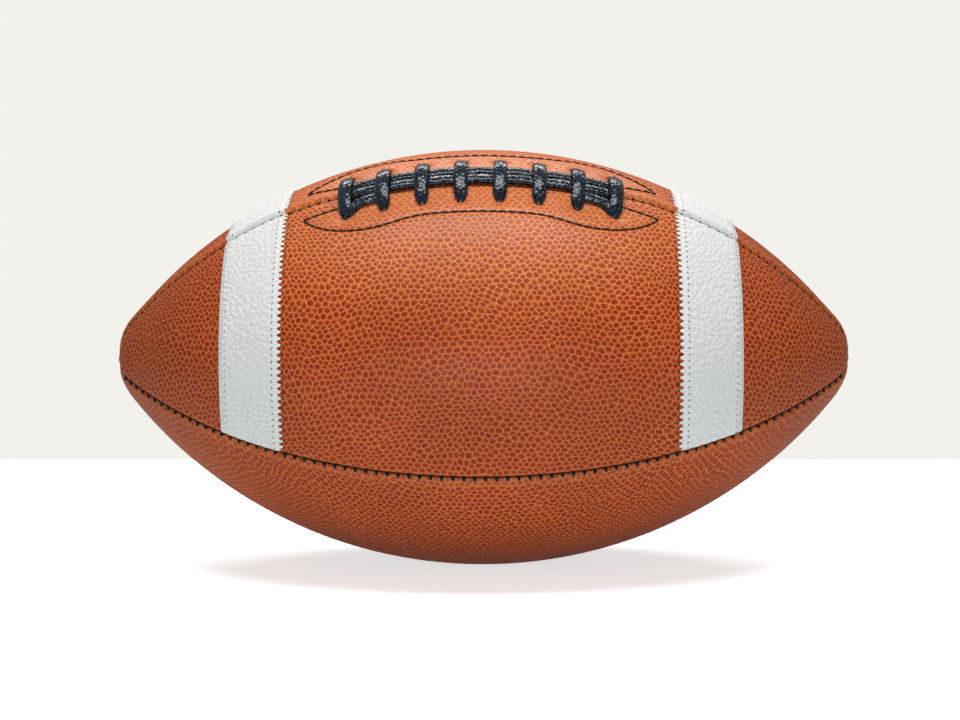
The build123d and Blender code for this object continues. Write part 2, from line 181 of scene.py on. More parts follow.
def ramp(value, low, high, first=0.0, last=1.0):
    """Smooth step of a value between two others."""
    inputs = {"Value": value, "From Min": low, "From Max": high, "To Min": first, "To Max": last}
    return take(value.tree, "ShaderNodeMapRange", inputs, "Result", interpolation_type="SMOOTHSTEP")


def new_group(kind, name, inputs, outputs):
    """An empty group with named sockets, and its two ends; a number is the default of an input."""
    tree = bpy.data.node_groups.new(name, kind)
    for label, value in inputs.items():
        plain = isinstance(value, float)
        made = tree.interface.new_socket(label, in_out="INPUT", socket_type=FLOAT if plain else value)
        if plain:
            made.default_value = value
    for label, socket in outputs.items():
        tree.interface.new_socket(label, in_out="OUTPUT", socket_type=socket)
    return tree, named(tree.nodes.new("NodeGroupInput").outputs), tree.nodes.new("NodeGroupOutput").inputs


FLOAT = "NodeSocketFloat"
VECTOR = "NodeSocketVector"
GEOMETRY = "NodeSocketGeometry"
MATERIAL = "NodeSocketMaterial"

# %% [markdown]
# Football leather is pressed with a pebble grain: small oval islands in offset rows, with paler
# valleys between them. Two Voronoi textures, half a step apart, give the offset rows. The same
# nodes serve twice, once to raise the mesh and once to colour it, so the relief and the colour
# always fall on the same pebble.

# %% Pebble pattern
ROW_STEP = 0.8
PEBBLE_FLAT = 1.12
PEBBLE_REACH = 0.54
PEBBLE_SIZE = 2.5
PEBBLE_WANDER = 0.34
GRID_SHIFTS = (0.0, 23.5)
DRIFT_SCALE = 0.035
DRIFT = 8.0


def pebble_grids(place, size, seed):
    """A place in pebble steps, on two grids whose rows lie half a step apart."""
    soft = {"Vector": place, "Scale": DRIFT_SCALE, "Detail": 1.0}
    drift = take(place.tree, "ShaderNodeTexNoise", soft, "Color")
    push = arrow("SCALE", arrow("SUBTRACT", drift, (0.5, 0.5, 0.5)), DRIFT)
    bent = arrow("SCALE", arrow("ADD", place, push), 1.0 / size)
    laid = arrow("MULTIPLY", bent, (1.0, 0.5 / ROW_STEP, 0.0))
    starts = [seed + shift for shift in GRID_SHIFTS]
    moves = [take(place.tree, "ShaderNodeCombineXYZ", {0: start, 1: start}) for start in starts]
    return [arrow("ADD", laid, moved) for moved in moves]


def pebble_reach(spot, feature, wander):
    """Distance from a pebble's middle, about 1 at its rim, and a chance tone for that pebble."""
    inputs = {"Vector": spot, "Scale": 1.0, "Randomness": wander}
    settings = {"feature": feature, "voronoi_dimensions": "2D"}
    cell = named(node(spot.tree, "ShaderNodeTexVoronoi", inputs, **settings).outputs)
    oval = (1 / PEBBLE_REACH, 2 * ROW_STEP * PEBBLE_FLAT / PEBBLE_REACH, 0.0)
    apart = arrow("MULTIPLY", arrow("SUBTRACT", spot, cell["Position"]), oval)
    tone = take(spot.tree, "ShaderNodeSeparateXYZ", {0: cell["Color"]})
    return arrow("LENGTH", apart) * (tone * 0.22 + 0.89), tone


# %% [markdown]
# A panel is cut flat and bent onto the ball. In Geometry Nodes the bend is a rule: each point
# carries its place along the ball, its angle around it and its height, and the tree turns
# these into a place in space. Then the pebbles are raised along the normal.

# %% Tree that bends leather onto the ball
wrap, wrap_in, wrap_out = new_group(
    "GeometryNodeTree",
    "wrap_on_ball",
    {
        "Sheet": GEOMETRY,
        "Body radius": BODY_RADIUS,
        "Body swing": BODY_SWING,
        "Body drop": BODY_DROP,
        "Nose radius": NOSE_RADIUS,
        "Nose centre": NOSE_CENTRE,
        "Pebble size": PEBBLE_SIZE,
        "Pebble height": 0.16,
        "Seed": 0.0,
        "Wander": PEBBLE_WANDER,
        "Material": MATERIAL,
    },
    {"Leather": GEOMETRY},
)


def attribute(tree, name, data_type="FLOAT"):
    """A value that each point of a mesh carries."""
    return take(tree, "GeometryNodeInputNamedAttribute", {"Name": name}, data_type=data_type)


def raise_pebbles(mesh, size, height, seed, wander):
    """Push points out of the leather on the pebbles and into it in the valleys."""
    tree = mesh.tree
    spots = pebble_grids(attribute(tree, "flat", "FLOAT_VECTOR"), size, seed)
    reach = calc("MINIMUM", *[pebble_reach(spot, "F1", wander)[0] for spot in spots])
    lift = (ramp(reach, 0.25, 1.05, 1.0, 0.0) - 0.55) * height * attribute(tree, "grain")
    push = arrow("SCALE", take(tree, "GeometryNodeInputNormal"), lift * MM)
    return take(tree, "GeometryNodeSetPosition", {"Geometry": mesh, "Offset": push})


def finish_tree(mesh, material, result):
    """Smooth shading, real geometry and the material: the end of every tree."""
    smooth = take(mesh.tree, "GeometryNodeSetShadeSmooth", {0: mesh})
    real = take(mesh.tree, "GeometryNodeRealizeInstances", {0: smooth})
    fill(result, take(mesh.tree, "GeometryNodeSetMaterial", {"Geometry": real, "Material": material}))
    print(f"{mesh.tree.name}: {len(mesh.tree.nodes)} nodes")


along = attribute(wrap, "along")
angle = attribute(wrap, "angle")
reach = calc("ABSOLUTE", along)
body_half = wrap_in["Body radius"] * wrap_in["Body swing"]
on_nose = calc("GREATER_THAN", reach, body_half)
on_body = 1.0 - on_nose
body_turn = on_body * (reach / wrap_in["Body radius"])
nose_turn = on_nose * (wrap_in["Body swing"] + (reach - body_half) / wrap_in["Nose radius"])
swing = body_turn + nose_turn
radius = attribute(wrap, "proud") + (on_body * wrap_in["Body radius"] + on_nose * wrap_in["Nose radius"])
span = on_nose * wrap_in["Nose centre"] + radius * calc("SINE", swing)
ring = radius * calc("COSINE", swing) - on_body * wrap_in["Body drop"]
axes = (calc("SIGN", along) * span, calc("SINE", angle) * (ring * -1.0), calc("COSINE", angle) * ring)
place = arrow("SCALE", take(wrap, "ShaderNodeCombineXYZ", enumerate(axes)), MM)
bent = take(wrap, "GeometryNodeSetPosition", {"Geometry": wrap_in["Sheet"], "Position": place})
pebble_inputs = [wrap_in[label] for label in ("Pebble size", "Pebble height", "Seed", "Wander")]
finish_tree(raise_pebbles(bent, *pebble_inputs), wrap_in["Material"], wrap_out["Leather"])

# %% [markdown]
# Three helpers turn a list of points into an object, run a tree on it and keep the result as a
# plain mesh, and point the faces of a closed mesh outwards.


# %% Helpers for meshes
def mesh_object(name, points, faces, values, edges=()):
    """A mesh with values on its points, as an object at the origin."""
    mesh = bpy.data.meshes.new(name)
    mesh.from_pydata((points * MM).tolist(), edges, faces)
    for label, numbers in values.items():
        flat_row = np.asarray(numbers, np.float32)
        kind, key = ("FLOAT_VECTOR", "vector") if flat_row.ndim == 2 else ("FLOAT", "value")
        mesh.attributes.new(label, kind, "POINT").data.foreach_set(key, flat_row.ravel())
    made = bpy.data.objects.new(name, mesh)
    bpy.context.scene.collection.objects.link(made)
    return made


def run_tree(made, tree, values):
    """Run a tree on an object with these inputs, and keep the result as a plain mesh."""
    modifier = made.modifiers.new(tree.name, "NODES")
    modifier.node_group = tree
    for item in tree.interface.items_tree:
        if item.in_out == "INPUT" and item.name in values:
            modifier[item.identifier] = values[item.name]
    graph = bpy.context.evaluated_depsgraph_get()
    result = bpy.data.meshes.new_from_object(made.evaluated_get(graph))
    made.modifiers.remove(modifier)
    made.data = result
    result.name = made.name
    print(f"{made.name}: {len(result.polygons)} faces")
    return made


def outward(made):
    """Point the faces of a closed mesh outwards."""
    work = bmesh.new()
    work.from_mesh(made.data)
    bmesh.ops.recalc_face_normals(work, faces=work.faces)
    work.to_mesh(made.data)
    work.free()


# %% [markdown]
# Materials first need the pattern as a shader group. It reads the same flat place that the
# mesh carries, and gives the pebble's dome, its dark middle, the pale net and a chance tone.

# %% Pebble grain for materials
grain_group, grain_in, grain_out = new_group(
    "ShaderNodeTree",
    "pebble_grain",
    {
        "Place": VECTOR,
        "Size": PEBBLE_SIZE,
        "Seed": 0.0,
        "Wander": PEBBLE_WANDER,
        "Core": 0.64,
    },
    {"Dome": FLOAT, "Island": FLOAT, "Net": FLOAT, "Tone": FLOAT},
)
CORE_SOFTNESS = 0.14
spots = pebble_grids(grain_in["Place"], grain_in["Size"], grain_in["Seed"])
wander = grain_in["Wander"]
(near_a, tone_a), (near_b, tone_b) = [pebble_reach(spot, "F1", wander) for spot in spots]
next_pebble = calc("MINIMUM", *[pebble_reach(spot, "F2", wander)[0] for spot in spots])
to_rim = calc("MINIMUM", near_a, near_b)
to_next = calc("MINIMUM", next_pebble, calc("MAXIMUM", near_a, near_b))
a_wins = calc("LESS_THAN", near_a, near_b)
core_from = grain_in["Core"] - CORE_SOFTNESS
core_to = grain_in["Core"] + CORE_SOFTNESS
fill(grain_out["Dome"], ramp(to_rim, 0.2, 1.08, 1.0, 0.0))
fill(grain_out["Island"], ramp(to_rim, core_from, core_to, 1.0, 0.0))
fill(grain_out["Net"], ramp(to_next - to_rim, 0.06, 0.34, 1.0, 0.0))
fill(grain_out["Tone"], a_wins * tone_a + (1.0 - a_wins) * tone_b)
print(f"{grain_group.name}: {len(grain_group.nodes)} nodes")

# %% [markdown]
# Two more groups are shared. One marks the needle holes along a sewn row, and the other gives
# the strands and the fuzz of a thread.

# %% Needle holes and thread twist for materials
hole_group, hole_in, hole_out = new_group(
    "ShaderNodeTree",
    "needle_holes",
    {
        "Place": VECTOR,
        "Row": 80.0,
        "Pitch": 2.45,
        "Phase": 0.0,
        "Radius": 0.4,
    },
    {"Hole": FLOAT},
)
split = named(node(hole_group, "ShaderNodeSeparateXYZ", {0: hole_in["Place"]}).outputs)
off_row = calc("ABSOLUTE", split["X"]) - hole_in["Row"]
off_step = (calc("FRACT", split["Y"] / hole_in["Pitch"] + hole_in["Phase"]) - 0.5) * hole_in["Pitch"]
apart = calc("SQRT", off_row * off_row + off_step * off_step)
fill(hole_out["Hole"], 1.0 - ramp(apart, hole_in["Radius"] * 0.5, hole_in["Radius"]))

twist_group, twist_in, twist_out = new_group(
    "ShaderNodeTree", "thread_twist", {"Scale": 1400.0}, {"Strand": FLOAT, "Fuzz": FLOAT}
)
twisted = {"Vector": take(twist_group, "ShaderNodeTexCoord", output="Object"), "Detail": 1.0}
strand = {**twisted, "Scale": twist_in["Scale"], "Distortion": 1.5}
fuzz = {**twisted, "Scale": 3500.0, "Detail": 2.0}
fill(twist_out["Strand"], take(twist_group, "ShaderNodeTexWave", strand, "Fac", bands_direction="DIAGONAL"))
fill(twist_out["Fuzz"], take(twist_group, "ShaderNodeTexNoise", fuzz, "Fac"))

# %% [markdown]
# A few helpers make a material, place a shared group in it, and mix its colours. Colours are
# written as they show on a screen.


# %% Helpers for materials
def dress(shader, **values):
    """Feed a shader's sockets by name; a plain number stands on the socket itself."""
    for key, value in values.items():
        fill(shader.inputs[key.replace("_", " ")], value)


def new_material(name, **plain):
    """A material with its tree and its shader, dressed with these plain numbers."""
    material = bpy.data.materials.new(name)
    material.use_nodes = True
    shader = material.node_tree.nodes["Principled BSDF"]
    dress(shader, **plain)
    print(f"material {name}")
    return material, material.node_tree, shader


def group(tree, shared, values):
    """Place a shared group in a material."""
    return named(node(tree, "ShaderNodeGroup", values, node_tree=shared).outputs)


def blend_color(share, first, second, mode="MIX"):
    """Mix two colours."""
    inputs = {0: share, 6: first, 7: second}
    tree = tree_of(inputs.values())
    return take(tree, "ShaderNodeMix", inputs, 2, data_type="RGBA", blend_type=mode)


def bump(shader, height, distance, strength=1.0):
    """Fine relief, in millimetres of depth."""
    inputs = {"Height": height, "Distance": distance * MM, "Strength": strength}
    dress(shader, Normal=take(height.tree, "ShaderNodeBump", inputs))


def srgb(red, green, blue):
    """A colour as it shows on a screen, 0 to 255, made linear."""
    parts = [part / 255 for part in (red, green, blue)]
    return (*[part / 12.92 if part < 0.04045 else ((part + 0.055) / 1.055) ** 2.4 for part in parts], 1.0)


def mesh_value(tree, name, output="Fac"):
    """A value that the mesh carries, for a material."""
    return take(tree, "ShaderNodeAttribute", output=output, attribute_name=name)


def pebble_cells(tree, values):
    """The pebble grain of a material, on the flat place that the mesh carries."""
    return group(tree, grain_group, {"Place": mesh_value(tree, "flat", "Vector"), **values})


def object_place(tree):
    """The place on the object, in metres."""
    return take(tree, "ShaderNodeTexCoord", output="Object")


def noise(place, scale, detail=3.0):
    """Soft noise on a place."""
    return take(place.tree, "ShaderNodeTexNoise", {"Vector": place, "Scale": scale, "Detail": detail}, "Fac")


# %% [markdown]
# Brown leather: dark red-brown pebbles on a warmer brown, in a net of paler tan. It is rubbed
# smoother along the seams and around the laces, so the mesh carries a value called grain that
# fades the pebbles there. Where it faces up and a little forward around the laces it is painted
# paler and more orange as a painted sheen, and it is painted darker towards the ends as painted
# shade. Another value on the mesh darkens the leather where it dives into a seam: painted shade.

# %% Colour of the brown leather
STRIPE_INNER = 77.5
STRIPE_OUTER = 104.0
ZIGZAG_PITCH = 2.45
ZIGZAG_START = 2.0
INNER_RING = float(meridian(np.array(STRIPE_INNER))[1])
OUTER_ROW = STRIPE_OUTER - 1.9
OUTER_RING = float(meridian(np.array(OUTER_ROW))[1])
INNER_PHASE = 0.5 - (ZIGZAG_START - INNER_RING * pi / 4) / ZIGZAG_PITCH
OUTER_PHASE = 0.5 - (ZIGZAG_START - OUTER_RING * pi / 4) / ZIGZAG_PITCH
HOLE_DEPTH = 1.5


def needle_row(sewn, row, phase, radius, pitch=ZIGZAG_PITCH):
    """A mask of the needle holes along one sewn row."""
    values = {"Place": sewn, "Row": row, "Pitch": pitch, "Phase": phase, "Radius": radius}
    return group(sewn.tree, hole_group, values)["Hole"]


panel_leather, tree, shader = new_material("panel_leather", Specular_IOR_Level=0.0, Coat_Roughness=0.38)
grain = mesh_value(tree, "grain")
cells = pebble_cells(tree, {"Size": PEBBLE_SIZE})
where = object_place(tree)
cloud = noise(where, 22.0)
# Painted sheen: where the leather faces up and a little forward, around the laces, its pebbles, ground and
# net are painted paler and more orange.
painted_sheen_and_wear = ramp(arrow("DOT_PRODUCT", where, (0, -0.45, 0.89)), 0.05, 0.074, 0.0, 0.5)
smooth = ramp(grain, 0.3, 1.0, 0.8, 0.0)
island_color = blend_color(cells["Tone"], srgb(134, 34, 5), srgb(150, 47, 10))
island_color = blend_color(painted_sheen_and_wear, island_color, srgb(174, 80, 42))
ground_color = blend_color(cloud, srgb(156, 66, 26), srgb(166, 75, 32))
ground_color = blend_color(smooth, ground_color, srgb(176, 93, 49))
ground_color = blend_color(painted_sheen_and_wear, ground_color, srgb(196, 114, 58))
net_color = blend_color(painted_sheen_and_wear, srgb(196, 120, 76), srgb(230, 170, 124))
strength = ramp(grain, 0.25, 1.0, 0.55, 1.0)
leather_color = blend_color(cells["Island"] * strength, ground_color, island_color)
leather_color = blend_color(cells["Net"] * strength * 0.85, leather_color, net_color)
to_end = calc("ABSOLUTE", mesh_value(tree, "along"))
# Painted shade: the leather is painted darker towards both ends, on top of a random cloudy tone.
painted_end_shade = ramp(to_end, STRIPE_INNER - 10, HALF_SEAM - 20, 1.0, 0.8)
shade = ramp(cloud, 0.3, 0.7, 0.92, 1.06) * painted_end_shade
grey = take(tree, "ShaderNodeCombineColor", {0: shade, 1: shade, 2: shade})
leather_color = blend_color(1.0, leather_color, grey, "MULTIPLY")
# Painted shade: the brown leather is painted dark where it dives into a seam.
leather_color = blend_color(mesh_value(tree, "painted_crease_shade") * 0.88, leather_color, srgb(34, 12, 6))
holes = needle_row(mesh_value(tree, "sewn", "Vector"), STRIPE_INNER - 1.7, INNER_PHASE, 0.5)
dress(shader, Base_Color=blend_color(holes, leather_color, srgb(26, 20, 20)))

# %% [markdown]
# Its gloss is a thin clear finish, stronger on top of the pebbles and on the side below the
# laces. Pebbles, pores and needle holes make the fine relief.

# %% Finish and relief of the brown leather
rubbed = calc("MAXIMUM", cells["Dome"], 1.0 - grain)
handled = ramp(arrow("DOT_PRODUCT", where, (0, -1, 1)), 0.085, 0.112)
polished = ramp(handled, 0.0, 1.0, 1.0, 1.4)
dress(shader, Roughness=ramp(rubbed, 0.0, 1.0, 0.55, 0.4))
dress(shader, Coat_Weight=ramp(rubbed, 0.0, 1.0, 0.12, 0.29) * polished)
bump(shader, cells["Dome"] * grain + noise(where, 1800.0) * 0.2 - holes * HOLE_DEPTH, 0.3, 0.9)

# %% [markdown]
# White leather on the stripes has the same pebbles, a little finer, under a thin even coat of
# white. Needle holes run along both edges where the zigzag thread goes down.

# %% White stripe leather
WHITE_PEBBLE = {"Size": 2.15, "Seed": 7.3, "Wander": 0.6}
white_leather, tree, shader = new_material("white_leather", Specular_IOR_Level=0.15)
cells = pebble_cells(tree, WHITE_PEBBLE)
where = object_place(tree)
coat = blend_color(noise(where, 45.0), srgb(204, 203, 202), srgb(213, 212, 211))
# Painted shade: the valleys between the white pebbles are painted a little greyer.
coat = blend_color(cells["Net"] * 0.35, coat, srgb(184, 183, 183))
# Painted shade: the white leather is painted greyer where it dives into a seam.
coat = blend_color(mesh_value(tree, "painted_crease_shade") * 0.5, coat, srgb(120, 112, 108))
sewn = mesh_value(tree, "sewn", "Vector")
inner_holes = needle_row(sewn, STRIPE_INNER + 2.1, INNER_PHASE + 0.5, 0.42)
outer_pitch = ZIGZAG_PITCH * INNER_RING / OUTER_RING
outer_holes = needle_row(sewn, OUTER_ROW - 1.2, OUTER_PHASE, 0.36, outer_pitch)
holes = calc("MAXIMUM", inner_holes, outer_holes)
dress(shader, Base_Color=blend_color(holes, coat, srgb(60, 58, 58)))
dress(shader, Roughness=ramp(cells["Dome"], 0.0, 1.0, 0.6, 0.5))
pebbles = cells["Dome"] * mesh_value(tree, "grain")
bump(shader, pebbles + noise(where, 1900.0) * 0.25 - holes * HOLE_DEPTH, 0.18, 0.9)

# %% [markdown]
# The lace is a dark thong with a fine scale grain. Its pale glints come from a clear finish on the
# scales, so its colour stays dark and the crevices between scales have none. The scales' blue is
# partly their own navy and partly a painted reflection of those glints, and the crevices are
# painted near-black as painted shade.

# %% Lace leather
LACE_SCALES = {"Size": 1.9, "Seed": 3.1, "Wander": 0.5}
lace_leather, tree, shader = new_material("lace_leather", Specular_IOR_Level=0.0, Coat_Roughness=0.17)
cells = pebble_cells(tree, LACE_SCALES)
plate = 1.0 - cells["Net"]
# Painted reflection: the scales are tinted blue for the bluish glints of their finish; painted shade: the
# crevices between them are near-black.
scale_color = blend_color(cells["Tone"], srgb(3, 8, 14), srgb(17, 38, 60))
thong_color = blend_color(plate, srgb(2, 2, 3), scale_color)
# Worn patches at random, a duller dark colour; no light is painted here.
painted_sheen_and_wear = ramp(noise(object_place(tree), 160.0), 0.35, 0.75, 0.0, 0.4)
dress(shader, Base_Color=blend_color(painted_sheen_and_wear, thong_color, srgb(6, 11, 18)))
dress(shader, Roughness=ramp(plate, 0.0, 1.0, 0.7, 0.4))
dress(shader, Coat_Weight=ramp(plate, 0.1, 0.9, 0.01, 0.52))
bump(shader, plate + cells["Dome"] * 0.9, 0.16, 1.0)

# %% [markdown]
# Thread is twisted from strands. At this size the twist is a fine diagonal band with some fuzz.


# %% Threads
def thread_material(name, low, high):
    """Twisted thread between a dark and a light colour."""
    material, tree, shader = new_material(name, Specular_IOR_Level=0.1)
    twist = group(tree, twist_group, {})
    mixed = take(tree, "ShaderNodeMix", {0: 0.4, 2: twist["Strand"], 3: twist["Fuzz"]})
    dress(shader, Base_Color=blend_color(mixed, low, high))
    dress(shader, Roughness=ramp(twist["Fuzz"], 0.2, 0.8, 0.55, 0.8))
    bump(shader, mixed, 0.08, 0.6)
    return material


dark_thread = thread_material("dark_thread", srgb(6, 6, 8), srgb(26, 27, 30))
white_thread = thread_material("white_thread", srgb(196, 194, 190), srgb(240, 239, 236))

# %% [markdown]
# Inside the ball are a woven lining, suede facings, a tongue, the rubber bladder and its valve.
# They keep their solid shapes and take plain materials with a weave, nap or fine speckle.


# %% Inner materials
def speckled(name, low, high, scale, rough, depth):
    """A matt material with fine speckle: suede, rubber or cloth fuzz."""
    material, tree, shader = new_material(name, Roughness=rough, Specular_IOR_Level=0.3)
    speck = noise(object_place(tree), scale, 4.0)
    dress(shader, Base_Color=blend_color(ramp(speck, 0.3, 0.7), low, high))
    bump(shader, speck, depth, 0.6)
    return material


facing_leather = speckled("facing_leather", srgb(118, 76, 48), srgb(150, 102, 68), 900.0, 0.9, 0.2)
bladder_rubber = speckled("bladder_rubber", srgb(26, 26, 28), srgb(40, 40, 42), 400.0, 0.7, 0.05)
valve_rubber = speckled("valve_rubber", srgb(14, 14, 15), srgb(30, 30, 32), 1200.0, 0.55, 0.05)

lining_fabric, tree, shader = new_material("lining_fabric", Roughness=0.9, Specular_IOR_Level=0.2)
yarn = {"Vector": object_place(tree), "Scale": 260.0}
warp = take(tree, "ShaderNodeTexWave", yarn, "Fac", bands_direction="X")
weave = warp * take(tree, "ShaderNodeTexWave", yarn, "Fac", bands_direction="DIAGONAL")
dress(shader, Base_Color=blend_color(weave, srgb(176, 168, 148), srgb(220, 214, 196)))
bump(shader, weave, 0.2, 0.6)

INNER = {
    "lining": lining_fabric,
    "lace_facing": facing_leather,
    "lace_tongue": facing_leather,
    "bladder": bladder_rubber,
    "valve": valve_rubber,
}
for name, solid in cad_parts.items():
    for start, material in INNER.items():
        if name.startswith(start):
            solid.data.materials.clear()
            solid.data.materials.append(material)

# %% [markdown]
# The facing outlines are sewn lines beside the laces. Each is a straight middle, two tangent
# arcs and a point, mirrored left and right, laid out flat beside the lace seam.

# %% Layout beside the laces
LACE_COUNT = 8
LACE_PITCH = 14.8
LACE_END = LACE_PITCH * (LACE_COUNT - 1) / 2
LACE_OPENING = LACE_END + LACE_PITCH / 2
LACE_WIDTH = 5.4
LACE_THICKNESS = 2.4
NEAR_HOLE = 14.7
FAR_HOLE = 13.3
LACE_REACH = LACE_END + LACE_WIDTH / 2 + 0.6
FACING_TIP = (69.0, 10.0)
FACING_NEAR = (LACE_REACH, 8.0)
FACING_NECK = (18.0, 22.0)
FACING_TURN = (32.0, 23.7)


def tangent_arc(start, end, heading, count):
    """Points of the arc that leaves start in this heading and ends at end, and its last heading."""
    chord = np.subtract(end, start)
    lean = atan2(chord[1], chord[0]) - heading
    turns = np.linspace(0, 1, count + 1)[1:] * lean
    reach = np.hypot(*chord) * np.sin(turns) / sin(lean)
    headings = heading + turns
    steps = reach[:, None] * np.stack([np.cos(headings), np.sin(headings)], -1)
    return np.array(start) + steps, heading + 2 * lean


neck_points, neck_heading = tangent_arc(FACING_NECK, FACING_TURN, 0.0, 12)
tip_points, _ = tangent_arc(FACING_TURN, FACING_TIP, neck_heading, 30)
half_line = np.vstack([FACING_NECK, neck_points, tip_points, FACING_NEAR])
facing_line = np.vstack([half_line[::-1] * (-1, 1), half_line])
lace_spots = np.arange(LACE_COUNT) * LACE_PITCH - LACE_END


def line_distance(line, along, across):
    """Least distance from flat points to a line of points."""
    spots = np.stack([along, across], -1)[..., None, :]
    start, step = line[:-1], line[1:] - line[:-1]
    length = np.maximum((step**2).sum(-1), 1e-9)
    share = np.clip(((spots - start) * step).sum(-1) / length, 0, 1)
    return np.sqrt(((start + share[..., None] * step - spots) ** 2).sum(-1)).min(-1)


def within_line(line, along, across):
    """Whether flat points lie inside a closed line."""
    x, y = line[:, 0], line[:, 1]
    x2, y2 = np.roll(x, -1), np.roll(y, -1)
    inside = np.zeros(along.shape, bool)
    for a, b, c, d in zip(x, y, x2, y2):
        if b != d:
            crossing = ((b > across) != (d > across)) & (along < (c - a) * (across - b) / (d - b) + a)
            inside ^= crossing
    return inside


print(f"facing outline {np.hypot(*np.diff(facing_line, axis=0).T).sum():.0f} mm")

# %% [markdown]
# Each panel's two long edges are sewn inside out and turned, so they roll down into the seam.
# One edge of a seam is crisp and the other is a soft roll. Stitches pull small puckers into
# the roll, the laces press a bed and pull dimples, and the facing's thread sinks in a groove.

# %% Height of the leather
SEAM_GAP = 0.2
STITCH_PITCH = 4.0
PUCKER = 0.22
LACE_SINK = 0.8
LACE_PRESS = 0.75
GROOVE = 0.4
GROOVE_WIDTH = 0.9
FACING_GRAIN = 0.62
DIMPLE = 1.2
DIMPLE_SIZE = (3.6, 2.6)
# Width, depth and lip of each kind of edge, then the reach of its painted crease shade and its smooth band
CRISP = (1.4, 1.3, 0.15, 0.7, 2.5)
ROLLED = (3.2, 1.7, 0.3, 1.1, 6.0)
LIP = (2.4, 1.9, 0.6, 0.5, 7.0)
BED = (3.2, 1.7, 0.1, 0.5, 4.5)
PANELS = {
    "lace_front": (0, BED, CRISP),
    "belly_front": (1, ROLLED, CRISP),
    "belly_back": (2, ROLLED, ROLLED),
    "lace_back": (3, CRISP, LIP),
}
VALVE_TURN = radians(20)
VALVE_HOLE = 3.0


def edge_form(along, gap, form, first):
    """Height, painted crease shade and grain of a panel's edge, this far from its seam."""
    width, depth, lip, dark, smooth = form
    inner = np.clip(1 - gap / width, 0, 1)
    height = -depth * (1 - np.sqrt(1 - inner**2))
    height = height + lip * ease(0, width, gap) * (1 - ease(width, 3.2 * width, gap))
    pulled = 0.5 + 0.5 * np.cos(2 * pi * (np.abs(along) - first) / STITCH_PITCH)
    pulled = pulled * ease(first - 4, first, np.abs(along))
    height = height - PUCKER * pulled * np.exp(-gap / 2.2)
    return height, 1 - ease(0.4 * dark, dark, gap), 0.25 + 0.75 * ease(0.3 * smooth, smooth, gap)


def lace_form(quarter, along, across, height, grain):
    """Height and grain of a lace panel, with the laces' bed and holes and the facing's groove."""
    near = (np.abs(along) < FACING_TIP[0] + 6) & (across < 34)
    beside = np.full(along.shape, 99.0)
    beside[near] = line_distance(facing_line, along[near], across[near])
    height = height - GROOVE * np.exp(-((beside / GROOVE_WIDTH) ** 2))
    grain = grain * np.where(within_line(facing_line, along, across), FACING_GRAIN, 1.0)
    grain = grain * (1 - 0.5 * np.exp(-((beside / 1.2) ** 2)))
    reach = np.abs(along)
    sunk = (1 - ease(10, 24, across)) * (1 - ease(LACE_END + 2, LACE_END + 16, reach))
    pressed = (1 - ease(5.0, 7.2, across)) * (1 - ease(LACE_END + 1.5, LACE_END + 5, reach))
    height = height - LACE_SINK * sunk - LACE_PRESS * pressed
    grain = grain * (1 - 0.3 * sunk)
    offset = NEAR_HOLE if quarter == "lace_front" else FAR_HOLE
    for spot in lace_spots:
        away = np.hypot((along - spot) / DIMPLE_SIZE[0], (across - offset) / DIMPLE_SIZE[1])
        height = height - DIMPLE * np.exp(-(away**2))
        grain = grain * (1 - 0.5 * np.exp(-((away / 1.4) ** 2)))
    return height, grain


def leather_form(quarter, along, gap, width):
    """Height, grain and painted crease shade of a panel, at places along it and this far from its first seam.
    """
    _, first_form, last_form = PANELS[quarter]
    first_start = LACE_OPENING if quarter == "lace_front" else STITCH_PITCH / 2
    last_start = LACE_OPENING if quarter == "lace_back" else STITCH_PITCH / 2
    height, painted_crease_shade, grain = edge_form(along, gap, first_form, first_start)
    last_height, last_painted_crease_shade, last_grain = edge_form(along, width - gap, last_form, last_start)
    height = height + last_height
    grain = grain * last_grain
    if quarter.startswith("lace"):
        across = gap if quarter == "lace_front" else width - gap
        height, grain = lace_form(quarter, along, across, height, grain)
    return np.maximum(height, 0.3 - LEATHER), np.clip(grain, 0, 1), np.maximum(painted_crease_shade, last_painted_crease_shade)


# %% [markdown]
# A panel is one closed sheet: a fine grid outside, a coarse one inside and walls along its two
# seams, closed to a point at each nose. Its columns crowd near the seams, where the edge rolls.

# %% Grid of a panel
STATIONS = 470
COLUMNS = 184
EDGE_COLUMNS = 12
INNER_COLUMNS = 8
EDGE_ZONE = 3.8
PATTERN_STEP = 500.0


def column_gaps(width, columns, edge_columns):
    """Distances from the first seam to each column, crowded near both edges."""
    zone = np.minimum(EDGE_ZONE, 0.22 * width)[:, None]
    margin = np.minimum(SEAM_GAP, 0.02 * width)[:, None]
    edge = (np.arange(edge_columns) / edge_columns) ** 2
    middle = np.linspace(0, 1, columns - 2 * edge_columns)
    near = margin + zone * edge
    rest = margin + zone + (width[:, None] - 2 * (margin + zone)) * middle
    return np.hstack([near, rest, width[:, None] - near[:, ::-1]])


def grid_faces(rows, columns, first=0):
    """Quads of a grid of points."""
    corner = first + (np.arange(rows - 1)[:, None] * columns + np.arange(columns - 1)).ravel()
    return np.stack([corner, corner + 1, corner + columns + 1, corner + columns], -1).tolist()


